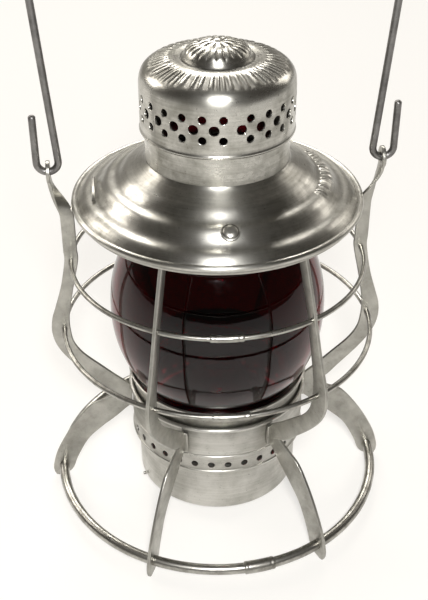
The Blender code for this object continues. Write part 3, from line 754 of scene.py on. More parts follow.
@dataclass(frozen=True)
class WovenCotton:
    """Flat woven lamp wick: soft, matt, with threads 0.9 mm apart and a scorched top edge."""

    name: str = "woven_cotton_wick"
    thread: float = 0.9
    scorch_start: float = 60.0
    scorch_end: float = 65.0

    def material(self) -> bpy.types.Material:
        """Build the cotton: two crossed waves for the weave, darker towards the burnt end."""
        material, tree, shader = new_material(self.name)
        place = add_node(tree, "TexCoord").outputs["Object"]
        # A wave texture of scale 1 repeats about every 1 / 6.3 of a unit.
        scale = 1.0 / (self.thread * MM * 6.3)
        warp, weft = (add_node(tree, "TexWave", {"Vector": place, "Scale": scale},
                               bands_direction=axis).outputs["Fac"] for axis in "XZ")
        weave = add_node(tree, "Math", [warp, weft], operation="MULTIPLY")
        height = add_node(tree, "SeparateXYZ", {0: place}).outputs["Z"]
        burnt = add_node(tree, "MapRange", [height, self.scorch_start * MM, self.scorch_end * MM])
        clean = add_node(tree, "MixRGB", [weave, linear("#b9ae94"), linear("#e2d9c3")])
        colour = add_node(tree, "MixRGB", [burnt, clean, linear("#17130f")])
        bump = add_node(tree, "Bump", {"Strength": 0.6, "Distance": 0.3 * MM, "Height": weave})
        feed(tree, shader, {"Base Color": colour, "Normal": bump, "Roughness": 0.92})
        return material


@dataclass
class Finishes:
    """Every finish of the lantern, made once and handed to the pieces."""

    spun_tin: bpy.types.Material
    dome_tin: bpy.types.Material
    can_tin: bpy.types.Material
    wire_tin: bpy.types.Material
    strip_tin: bpy.types.Material
    bail_steel: bpy.types.Material
    glass: bpy.types.Material
    brass: bpy.types.Material
    cotton: bpy.types.Material
    sooty_shaded_tin: bpy.types.Material

    @classmethod
    def make(cls) -> "Finishes":
        """Build every material."""
        # Spun tinplate keeps the wheel's marks round its axis: long in x and y, 0.7 mm apart in height.
        spun = Metal("spun_tinplate", "#cbc9c2", "#85837b", "#2b2823", 0.27, 0.42,
                     lay=(30.0, 30.0, 0.7), spun=0.75)
        dome = Metal("pressed_tinplate", "#c9c7c0", "#918f86", "#2a2722", 0.24, 0.40,
                     lay=(30.0, 30.0, 0.9), cloud=12.0, spun=0.6)
        can = Metal("rolled_tinplate", "#cccac4", "#a3a199", "#3a3731", 0.30, 0.44,
                    lay=(40.0, 40.0, 1.2), cloud=22.0, spun=0.5)
        wire = Metal("tinned_wire", "#b9b7b0", "#7c7972", "#302d27", 0.26, 0.44,
                     lay=(3.0, 3.0, 3.0), cloud=9.0)
        strip = Metal("tinned_strip", "#b4b2ab", "#8c8a83", "#2e2b26", 0.32, 0.48,
                      lay=(5.0, 5.0, 5.0), cloud=14.0, grain=0.04)
        bail = Metal("bare_steel_wire", "#8a8886", "#62605e", "#2a2827", 0.36, 0.55,
                     lay=(4.0, 4.0, 4.0), cloud=12.0, grain=0.05, wear=0.3)
        # The metal over the flame is dull and black: soot, and painted shade that keeps what is seen through
        # the dome's holes dark.
        soot_and_shade = Metal("sooty_shaded_tinplate", "#2a2826", "#191817", "#0b0a0a", 0.55, 0.75,
                     lay=(6.0, 6.0, 6.0), cloud=9.0, wear=0.1)
        brass = Metal("aged_brass", "#b8924f", "#7d6135", "#2e2214", 0.30, 0.50,
                      lay=(6.0, 6.0, 1.0), cloud=7.0)
        return cls(*(item.material() for item in (spun, dome, can, wire, strip, bail, RubyGlass(), brass,
                                                  WovenCotton(), soot_and_shade)))


# --- placing pieces -----------------------------------------------------------------------------------
def box_mm(node: str) -> tuple[Array, Array]:
    """Return a frame node's lowest and highest corners in millimetres.

    Args:
        node: its name in the frame.
    Returns:
        Two corners.
    """
    low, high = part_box(node)
    return np.array(low) / MM, np.array(high) / MM


def put(name: str, surface: Surface, material: bpy.types.Material, body: str, slot: Slot,
        *nodes: str) -> None:
    """Put a surface into a mesh object that rides on a body and stands for frame nodes.

    Args:
        name: the piece's name.
        surface: its shape in millimetres.
        material: its finish.
        body: the body that carries it.
        slot: the record's slot of its finish; not used.
        nodes: the frame nodes that it replaces.
    """
    faces = [surface.quads, surface.triangles]
    mesh = bpy.data.meshes.new(name)
    mesh.vertices.add(len(surface.points))
    mesh.vertices.foreach_set("co", (surface.points * MM).astype(np.float32).ravel())
    sizes = np.concatenate([np.full(len(group), group.shape[1]) for group in faces])
    mesh.loops.add(int(sizes.sum()))
    corners = np.concatenate([group.ravel() for group in faces]).astype(np.int32)
    mesh.loops.foreach_set("vertex_index", corners)
    mesh.polygons.add(len(sizes))
    mesh.polygons.foreach_set("loop_start", np.concatenate([[0], np.cumsum(sizes)[:-1]]).astype(np.int32))
    mesh.update(calc_edges=True)
    mesh.validate()
    attribute = mesh.attributes.new("bend", "FLOAT", "POINT")
    attribute.data.foreach_set("value", surface.bends().astype(np.float32))
    mesh.materials.append(material)
    mesh.shade_smooth()
    mesh.set_sharp_from_angle(angle=np.radians(50.0))
    piece = bpy.data.objects.new(name, mesh)
    bpy.context.scene.collection.objects.link(piece)
    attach(piece, body)
    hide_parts(*nodes)
    LOG.info("%s: %d points, %d faces, rides on %s", name, len(surface.points), len(sizes), body)


@dataclass
class Turned:
    """A plain turned piece: an outline that is rounded a little and spun."""

    outline: Sequence[tuple[float, float]]
    ease: float = 0.3
    columns: int = 120
    centre: tuple[float, float] = (0.0, 0.0)

    def build(self) -> Surface:
        """Round the outline's corners and spin it."""
        closed = self.outline[0][0] > 0.0 or self.outline[-1][0] > 0.0
        return revolve(soften(self.outline, self.ease, closed=closed), self.columns, centre=self.centre)


# --- guard frame --------------------------------------------------------------------------------------
@dataclass
class WireRing:
    """A bent wire ring and the sleeve crimped over its two ends."""

    node: str
    sleeve_node: str
    sleeve_azimuth: float
    sleeve_wall: float = 0.55
    steps: int = 288

    def sizes(self) -> tuple[float, float, float]:
        """Return the centreline's radius, the wire's radius and the height, which the frame's box gives."""
        low, high = box_mm(self.node)
        wire = (high[2] - low[2]) / 2.0
        return high[0] - wire, wire, (high[2] + low[2]) / 2.0

    def build(self) -> Surface:
        """Carry a circle round the ring's centreline."""
        radius, wire, height = self.sizes()
        azimuth = np.linspace(0.0, 2.0 * np.pi, self.steps, endpoint=False)
        section = round_section(np.full(self.steps, wire))
        return carry(round_points(radius, azimuth, height), section, Z_AXIS, closed=True)

    def build_sleeve(self) -> Surface:
        """Carry a tube over the joint: eased ends, and a shallow crimp near each of them."""
        radius, wire, height = self.sizes()
        low, high = box_mm(self.sleeve_node)
        length = np.linalg.norm((high - low)[:2]) - 2.0 * wire
        along = np.concatenate([[-0.5, -0.495, -0.485], np.linspace(-0.47, 0.47, 40), [0.485, 0.495, 0.5]])
        end = np.clip((0.5 - np.abs(along)) * length / 0.5, 0.0, 1.0)
        crimp = 0.10 * np.exp(-((np.abs(along) - 0.36) / 0.03) ** 2)
        size = (wire + self.sleeve_wall - crimp) * (0.78 + 0.22 * np.sqrt(end))
        azimuth = np.radians(self.sleeve_azimuth) + along * length / radius
        return carry(round_points(radius, azimuth, height), round_section(size, 28), Z_AXIS)


@dataclass
class Strip:
    """One flat stamping: upright, arm to the collar, leg and bent tab, and on two of them a bail eye."""

    node: str
    azimuth: float
    thickness: float = 1.7
    edge: float = 0.42
    tab: float = 3.0

    def carries_bail(self) -> bool:
        """Say whether the strip runs on past the lid to a bail eye."""
        return abs(self.azimuth) == 90.0

    def build(self) -> Surface:
        """Join the upright, the leg, the tab and the eye."""
        parts = [self.upright(), self.leg(), self.collar_tab()]
        if self.carries_bail():
            parts.append(self.eye())
        return to_azimuth(join(parts), self.azimuth)

    def upright(self) -> Surface:
        """Span the upright and its arm from the top down to the collar."""
        top = box_mm("frame_top_ring")[0][2] - 0.3
        if self.carries_bail():
            height = np.array([181.3, 178.0, 174.0, 170.0, 166.0, 162.0, 157.0, 150.0, 143.0])
            middle = 70.6 + (EYE_RADIUS - 70.6) * smoothstep(160.0, 182.0, height)
            inner = [*zip(middle - 3.3, height), (67.3, 136.9)]
            outer = [*zip(middle + 3.3, height), (73.9, 136.9)]
        else:
            inner = [(59.3, top), (63.9, 150.0), (67.6, 136.9)]
            outer = [(64.5, top), (69.0, 151.0), (73.0, 136.9)]
        inner += [(70.6, 122.0), (73.0, 110.0), (73.9, 102.5), (73.7, 95.5), (72.4, 88.6), (68.0, 81.4),
                  (59.4, 72.8), (52.4, 66.0), (45.1, 59.6)]
        outer += [(76.6, 123.0), (80.2, 111.0), (82.6, 103.0), (83.0, 94.5), (80.5, 86.0), (74.3, 76.5),
                  (64.0, 64.8), (57.3, 57.6), (45.1, 50.0)]
        inner_edge, outer_edge = smooth(inner, 8), smooth(outer, 8)
        middle = (inner_edge + outer_edge) / 2.0
        turn = np.radians(90.0) * smoothstep(158.0, 180.0, middle[:, 1])
        turn = turn if self.carries_bail() else None
        return ribbon(inner_edge, outer_edge, self.thickness, self.edge, turn)

    def leg(self) -> Surface:
        """Span the curved leg from the collar to its rounded tip; it is a hair thinner than the upright."""
        upper = [(45.1, 56.8), (50.0, 54.8), (54.6, 53.0), (60.2, 50.9), (67.8, 46.9), (77.8, 34.0),
                 (86.1, 18.9), (89.5, 8.5), (89.9, 3.6), (89.0, 0.6)]
        lower = [(45.1, 47.2), (48.7, 44.2), (52.0, 41.0), (56.3, 37.2), (61.6, 32.8), (69.6, 24.6),
                 (76.0, 12.8), (79.0, 4.9), (82.2, 1.5), (87.0, 0.0)]
        return ribbon(smooth(upper, 8), smooth(lower, 8), self.thickness - 0.06, self.edge)

    def collar_tab(self) -> Surface:
        """Lay the bent tab on the collar, on the strip's side towards the lantern's front."""
        side = 1.0 if self.azimuth < 0.0 else -1.0
        radius = 45.65
        angle = np.linspace(-0.8 * side / radius, side * self.tab / radius, 14)
        share = np.linspace(0.0, 1.0, 14)
        tall = 11.6 * np.sqrt(np.clip(1.0 - (np.clip(share - 0.86, 0.0, 1.0) / 0.16) ** 2, 0.05, 1.0))
        path = stack(radius * np.cos(angle), radius * np.sin(angle), 53.3)
        return flat_bar(path, tall, 1.15, 0.4, Z_AXIS)

    def eye(self) -> Surface:
        """Make the round eye, which stands across the strip's top end."""
        outline = soften([(2.5, -0.87), (5.2, -0.87), (5.2, 0.87), (2.5, 0.87)], 0.4)
        return turned_about(revolve(outline, 64), "Y", 90.0, (EYE_RADIUS, 0.0, EYE_HEIGHT))


@dataclass
class GuardFrame:
    """The six strips and the three rings that guard the globe."""

    base: WireRing = field(default_factory=lambda: WireRing("base_ring", "base_ring_ferrule", 8.5))
    lower: WireRing = field(default_factory=lambda: WireRing("lower_guard_ring", "lower_guard_ferrule", -1.0))
    upper: WireRing = field(default_factory=lambda: WireRing("upper_guard_ring", "upper_guard_ferrule", -2.4))

    def build(self, finishes: Finishes) -> None:
        """Build and dress every strip, ring and sleeve."""
        for side, sign, front in (("left", -1.0, 28.0), ("right", 1.0, 31.0)):
            for place, azimuth in (("front_", front), ("", 90.0), ("back_", 150.0)):
                node = f"upright_{place}{side}"
                put(f"strip_{place}{side}", Strip(node, sign * azimuth).build(), finishes.strip_tin, "root",
                    Slot.STRIP, node)
        for ring in (self.base, self.lower, self.upper):
            put(f"{ring.node}_wire", ring.build(), finishes.wire_tin, "root", Slot.TIN, ring.node)
            put(f"{ring.sleeve_node}_sleeve", ring.build_sleeve(), finishes.wire_tin, "root", Slot.TIN,
                ring.sleeve_node)


# --- collar, vents and globe --------------------------------------------------------------------------
@dataclass
class GlobeSeat:
    """The collar, the vented band, the cup that holds the globe, and the flat seat under the lid."""

    collar_radius: float = 44.6
    vents: int = 33
    vent_radius: float = 1.75
    vent_height: float = 39.3
    vent_azimuth: float = 1.3
    facets_per_vent: int = 12

    def build(self, finishes: Finishes) -> None:
        """Build and dress the four turned parts."""
        put("socket_collar", self.collar(), finishes.can_tin, "root", Slot.TIN, "collar_band")
        put("air_band", self.vent_band(), finishes.can_tin, "root", Slot.TIN, "vent_band")
        put("globe_cup_turned", self.cup(), finishes.spun_tin, "root", Slot.TIN, "globe_cup")
        put("lid_seat", self.seat(), finishes.strip_tin, "root", Slot.STRIP, "frame_top_ring")

    def collar(self) -> Surface:
        """Spin the collar: a plain band under a rolled bead."""
        radius = self.collar_radius
        bead = arc(radius + 0.4, 62.2, 1.1, -75.0, 175.0, 14)
        body = [(radius - 1.1, 46.0), (radius - 0.9, 45.8), (radius + 0.1, 45.8), (radius + 0.3, 46.0),
                (radius + 0.3, 46.5), (radius + 0.15, 46.9), (radius, 47.3), (radius, 50.0),
                (radius, 56.0), (radius, 60.4), (radius + 0.15, 60.9)]
        return revolve(np.concatenate([body, bead, [(radius - 1.1, 61.0), (radius - 1.1, 50.0)]]), 200)

    def vent_band(self) -> Surface:
        """Spin and punch the band whose holes feed air to the flame."""
        columns = self.vents * self.facets_per_vent
        bead = arc(44.1, 34.9, 1.1, -150.0, 40.0, 12)
        pitch = 2.0 * np.pi * 44.65 / columns
        rise = np.arange(36.0, 44.2, pitch)
        row = int(np.argmin(np.abs(rise - self.vent_height)))
        rise += self.vent_height - rise[row]
        wall = stack(44.7 - 0.012 * (rise - 36.0), rise)
        top = np.array([(44.6, 44.6), (44.45, 44.85), (44.0, 45.0), (43.4, 45.25), (43.2, 45.6), (43.2, 49.0),
                        (43.2, 52.0)])
        outer = np.concatenate([bead, wall, top])
        inner = offset_inwards(outer, 0.9)
        inner[:len(bead)] = arc(44.1, 34.9, 0.45, -150.0, 40.0, 12)
        inner[len(bead):len(bead) + len(wall), 0] = wall[:, 0] - 0.9
        inner[len(bead) + len(wall):] = [(43.7, 44.0), (43.5, 44.1), (43.2, 44.2), (42.5, 44.4), (42.3, 44.8),
                                         (42.3, 49.0), (42.3, 52.0)]
        holes = [Hole(len(bead) + row, index * self.facets_per_vent, 4, 4, self.vent_radius)
                 for index in range(self.vents)]
        return punched_sheet(outer, inner, columns, holes, start=self.vent_azimuth)

    def cup(self) -> Surface:
        """Spin the flared cup with its rolled rim and the shelf under the globe."""
        low, _ = box_mm("globe")
        shelf = low[2] - 0.3
        rim = arc(45.1, 72.3, 0.8, -45.0, 170.0, 12)
        wall = [(42.2, 53.0), (43.2, 53.0), (43.2, 62.6), (43.4, 64.4), (44.3, 67.8)]
        under = shelf - 0.8
        inside = [(44.2, 71.6), (43.4, 69.2), (42.6, shelf), (33.0, shelf), (33.0, under), (42.2, under)]
        return revolve(np.concatenate([wall, rim, inside]), 200)

    def seat(self) -> Surface:
        """Spin the flat ring that carries the lid, and add the lugs that reach the two side strips."""
        low, high = box_mm("frame_top_ring")
        ring = revolve(soften([(57.4, low[2]), (66.0, low[2]), (66.0, high[2]), (57.4, high[2])], 0.4), 200)
        lugs = [flat_bar(stack(side * np.linspace(64.0, 68.4, 6), 0.0, (low[2] + high[2]) / 2.0), 10.0, 1.2,
                         0.3, Y_AXIS) for side in (-1.0, 1.0)]
        return join([ring] + lugs)


@dataclass
class RubyGlobe:
    """The barrel-shaped signal globe."""

    wall: float = 3.2
    neck: float = 40.0

    def build(self, finishes: Finishes) -> None:
        """Build and dress the globe.

        The outer radius is the neck's plus a swell of one less the 2.2 power of the distance from the
        middle, and the inner radius a wall less; both lips are half round.
        """
        low, high = box_mm("globe")
        middle, half = (low[2] + high[2]) / 2.0, (high[2] - low[2]) / 2.0
        lip = self.wall / 2.0
        t = np.linspace(-1.0 + lip / half, 1.0 - lip / half, 72)
        swell = (high[0] - self.neck) * (1.0 - np.abs(t) ** 2.2)
        outer = stack(self.neck + swell, middle + half * t)
        inner = outer[::-1] - np.array([self.wall, 0.0])
        top = arc(inner[0, 0] + lip, high[2] - lip, lip, 10.0, 170.0, 10)
        bottom = arc(inner[-1, 0] + lip, low[2] + lip, lip, 190.0, 350.0, 10)
        surface = revolve(np.concatenate([outer, top, inner, bottom]), 220)
        put("ruby_globe", surface, finishes.glass, "root", Slot.GLASS, "globe")


# --- lid and smoke dome -------------------------------------------------------------------------------
def lid_top(radius: Array) -> Array:
    """Return the height of the lid's face: a cone with two rolled ridges 10.5 mm apart that fade inwards.

    Args:
        radius: one or many.
    Returns:
        The height at each radius.
    """
    radius = np.asarray(radius, float)
    wave = np.cos(2.0 * np.pi * (radius - 62.0) / 10.5)
    return 170.6 + LID_SLOPE * (65.4 - radius) + 0.75 * smoothstep(38.0, 48.0, radius) * wave


@dataclass
class Lid:
    """The ridged lid with its short chimney, hinge leaf, loop, rivet, and the latch spring inside it."""

    stroke_first: float = 60.0
    stroke_last: float = 117.0
    strokes: int = 12

    def build(self, finishes: Finishes) -> None:
        """Build and dress the lid's pieces, and the hinge bracket and pin on the frame."""
        put("lid_pressing", self.shell(), finishes.spun_tin, "lid", Slot.TIN, "lid_shell")
        put("chimney_tube", self.chimney(), finishes.dome_tin, "lid", Slot.TIN, "chimney_collar")
        # The retainer is black: soot, and painted shade seen through the dome's holes.
        put("retainer_cone", self.retainer(), finishes.sooty_shaded_tin, "lid", Slot.TIN, "globe_retainer")
        put("rivet_head", self.rivet(), finishes.strip_tin, "lid", Slot.TIN, "latch_rivet")
        put("loop_strap", self.loop(), finishes.strip_tin, "lid", Slot.TIN, "lid_loop")
        put("hinge_leaf_knuckle", self.leaf(), finishes.strip_tin, "lid", Slot.STRIP, "lid_hinge_leaf")
        put("latch_leaf", self.latch(), finishes.strip_tin, "latch", Slot.STRIP, "latch_spring")
        put("bracket_block", self.bracket(), finishes.strip_tin, "root", Slot.STRIP, "hinge_bracket")
        put("pivot_pin", rod(1.1, -9.0, 8.2, HINGE_PIN), finishes.wire_tin, "root", Slot.STRIP, "hinge_pin")

    def shell(self) -> Surface:
        """Spin the ridged cone with its rolled rim and a row of plain raised strokes on one flank."""
        radius = 33.12 + 32.08 * np.linspace(0.0, 1.0, 80) ** 1.1
        seam = 0.8 * np.exp((33.12 - radius) / 0.9)
        top = stack(radius, lid_top(radius) + seam)
        rim = arc(66.6, 169.7, 1.5, 118.0, -150.0, 18)
        under = top[::-3] - np.array([0.0, 1.0])
        outline = np.concatenate([top, rim, under])
        middle = (self.stroke_first + self.stroke_last) / 2.0
        span = self.stroke_last - middle

        def strokes(azimuth: Array, radius: Array, height: Array) -> Array:
            """Raise short radial strokes between two ridges: cosine lobes in azimuth, a window in radius.

            Args:
                azimuth, radius, height: arrays of one shape.
            Returns:
                The height to add.
            """
            degrees = np.degrees((azimuth + np.pi) % (2.0 * np.pi) - np.pi)
            uneven = degrees - middle + 0.8 * np.sin(0.9 * degrees)
            lobe = np.clip(np.cos(np.pi * self.strokes * uneven / span), 0.0, 1.0) ** 0.5
            inside = np.clip((span - np.abs(degrees - middle)) / 1.5, 0.0, 1.0)
            window = smoothstep(47.2, 48.2, radius) * (1.0 - smoothstep(52.6, 53.6, radius))
            return 0.45 * lobe * inside * window

        return revolve(outline, 720, relief=strokes)

    def chimney(self) -> Surface:
        """Spin the tube between the lid and the dome with its seamed foot."""
        foot = [(32.0, 183.8), (32.2, 183.55), (36.1, 183.5), (36.4, 183.7), (36.4, 184.1), (36.0, 184.3),
                (33.8, 184.4), (33.2, 184.8), (33.0, 185.6)]
        wall = stack(33.0, np.linspace(187.0, 207.6, 12))
        mouth = [(32.8, 208.0), (32.2, 208.0), (32.0, 207.6), (32.0, 196.0)]
        return revolve(np.concatenate([foot, wall, mouth]), 200)

    def retainer(self) -> Surface:
        """Spin the cone that holds the globe down."""
        outline = [(36.8, 151.2), (41.0, 151.2), (41.0, 152.2), (38.4, 153.2), (31.0, 186.0), (30.1, 186.0),
                   (37.4, 152.9)]
        return revolve(soften(outline, 0.25), 180)

    def rivet(self) -> Surface:
        """Spin the raised rivet on the lid's front."""
        head = soften([(0.0, 0.0), (4.2, 0.0), (4.2, 0.5), (3.4, 0.7), (2.9, 1.3), (1.6, 1.8), (0.0, 1.9)],
                      0.25, closed=False)
        radius = 53.4
        tilt = np.degrees(np.arctan(LID_SLOPE))
        return turned_about(revolve(head, 48), "X", tilt, (0.0, -radius, float(lid_top(radius)) + 1.5))

    def loop(self) -> Surface:
        """Carry a flat strap over the lid's flank; it rises as one less the fourth power of its share."""
        t = np.linspace(-1.0, 1.0, 41)
        side = 11.5 * t
        height = lid_top(np.hypot(57.5, side)) + 0.85 + 1.9 * (1.0 - t ** 4)
        return flat_bar(stack(-57.5, side, height), 1.6, 0.9, 0.35)

    def strap(self, route: Sequence[tuple[float, float]], width: float, thickness: float) -> Surface:
        """Bend a strap of constant width along X through (y, z) points.

        Args:
            route: (y, z) points to pass through.
            width, thickness: of the strap.
        Returns:
            The closed strap.
        """
        curve = smooth(route, 8)
        return flat_bar(stack(0.0, curve[:, 0], curve[:, 1]), width, thickness, 0.28)

    def knuckle(self, start: float, end: float, outer: float) -> Surface:
        """Make a short tube round the hinge pin's axis.

        Args:
            start, end: its two ends along the pin.
            outer: its outer radius.
        Returns:
            The closed tube.
        """
        outline = soften([(1.5, start), (outer, start), (outer, end), (1.5, end)], 0.3)
        return turned_about(revolve(outline, 48), "Y", 90.0, HINGE_PIN)

    def leaf(self) -> Surface:
        """Join the lid's hinge leaf and its knuckle."""
        route = [(70.6, 166.8), (70.6, 171.4), (69.2, 173.2), (66.0, 173.4), (62.0, 174.6), (57.6, 176.6)]
        return join([self.strap(route, 8.2, 0.9), self.knuckle(-4.0, 4.0, 2.6)])

    def bracket(self) -> Surface:
        """Join the two cheeks, their bridge behind the seat and their ears round the pin."""
        parts = [self.knuckle(side - 1.25, side + 1.25, 2.9) for side in (-5.75, 5.75)]
        bars = ((0.0, 60.0, 66.6, 13.9, 2.28), (-5.75, 60.2, 68.9, 2.44, 2.2),
                (5.75, 60.2, 68.9, 2.44, 2.2))
        for side, start, end, width, thickness in bars:
            parts.append(flat_bar(stack(side, np.linspace(start, end, 8), 164.75), width, thickness, 0.35))
        return join(parts)

    def latch(self) -> Surface:
        """Bend the latch spring inside the lid's front."""
        route = [(-46.0, 177.8), (-50.0, 175.5), (-54.5, 172.8), (-56.0, 169.5), (-56.0, 166.0),
                 (-56.5, 163.4), (-55.0, 161.2)]
        return self.strap(route, 8.0, 0.8)


@dataclass
class SmokeDome:
    """The perforated dome: three rows of holes, a rounded shoulder, a fluted crown and a petalled boss."""

    holes: int = 24
    pitch: int = 16
    seam_gap: int = 21
    seam: float = 1.5
    radius: float = 34.9
    sheet: float = 0.9
    flutes: int = 52
    hole_height: float = 217.3
    hole_radii: tuple[float, float] = (2.25, 1.8)

    def build(self, finishes: Finishes) -> None:
        """Build and dress the dome and the baffle inside it."""
        put("dome_pressing", self.dome(), finishes.dome_tin, "lid", Slot.TIN, "smoke_dome")
        baffle = Turned([(0.0, 221.6), (27.0, 221.6), (27.0, 222.6), (1.8, 223.4), (1.8, 242.4),
                         (0.0, 242.4)], ease=0.25)
        # The baffle is black: soot, and painted shade seen through the dome's holes.
        put("baffle_disc", baffle.build(), finishes.sooty_shaded_tin, "lid", Slot.TIN, "draft_baffle")

    def crown(self) -> Array:
        """Return the outer outline above the band, from the shoulder to the top."""
        keys = [(34.9, 225.5), (34.6, 228.4), (33.5, 231.3), (31.2, 233.5), (26.5, 235.3), (20.8, 236.85),
                (17.6, 236.7), (16.2, 236.75), (15.2, 237.8), (14.6, 239.1), (13.4, 240.6), (11.0, 241.9),
                (7.0, 243.1), (3.0, 243.8), (0.0, 244.2)]
        return smooth(keys, 4)

    def relief(self, azimuth: Array, radius: Array, height: Array) -> Array:
        """Press the crown: uneven radial flutes in a ring, two rings of petals and a knob on the boss.

        A flute is a cosine in azimuth with its crest cut flat; the azimuth is warped by two slow sines, so
        that no two flutes are alike. Petals are rounded by a square root, and every ring eases to nothing at
        its two edges.

        Args:
            azimuth, radius, height: arrays of one shape.
        Returns:
            The height to add.
        """
        top = smoothstep(226.0, 230.0, height)
        warped = self.flutes * (azimuth + 0.035 * np.sin(7.0 * azimuth) + 0.02 * np.sin(17.0 * azimuth + 1.0))
        ring = smoothstep(21.8, 23.0, radius) * (1.0 - smoothstep(29.8, 31.2, radius)) * top
        flute = np.clip(1.5 * np.cos(warped), -0.4, 1.0) * ring
        outer = smoothstep(8.6, 9.8, radius) * (1.0 - smoothstep(13.2, 14.8, radius)) * top
        inner = smoothstep(3.0, 4.2, radius) * (1.0 - smoothstep(7.0, 8.4, radius)) * top
        petals = outer * (np.abs(np.cos(11.0 * azimuth)) ** 0.5 - 0.55)
        buds = inner * (np.abs(np.cos(5.0 * azimuth)) ** 0.5 - 0.5)
        knob = (1.0 - smoothstep(1.2, 2.8, radius)) * top
        return 0.34 * flute + 0.6 * petals + 0.6 * buds + 0.6 * knob

    def dome(self) -> Surface:
        """Punch the band's three rows of holes into the dome's sheet and press its crown."""
        columns = (self.holes - 1) * self.pitch + self.seam_gap
        step, rows_between = 0.58, 8
        rise = np.arange(206.5, 225.2, step)
        row = int(np.argmin(np.abs(rise - self.hole_height)))
        rise += self.hole_height - rise[row]
        bead = arc(34.3, 205.0, 1.0, -160.0, 50.0, 14)
        band = stack(self.radius, rise)
        outer = np.concatenate([bead, band, self.crown()])
        inner = offset_inwards(outer, self.sheet)
        inner[:len(bead)] = arc(34.3, 205.0, 0.45, -160.0, 50.0, 14) - np.array([0.2, 0.0])
        inner[len(bead):len(bead) + len(rise), 0] = self.radius - self.sheet
        large, small = self.hole_radii
        holes = []
        for index in range(self.holes):
            column = (self.seam_gap + 1) // 2 + index * self.pitch
            holes.append(Hole(len(bead) + row, column, 4, 5, large))
            holes += [Hole(len(bead) + row + side, (column + 7) % columns, 4, 4, small)
                      for side in (-rows_between, rows_between)]
        start = self.seam - 180.0 / columns
        return punched_sheet(outer, inner, columns, holes, relief=self.relief, start=start)


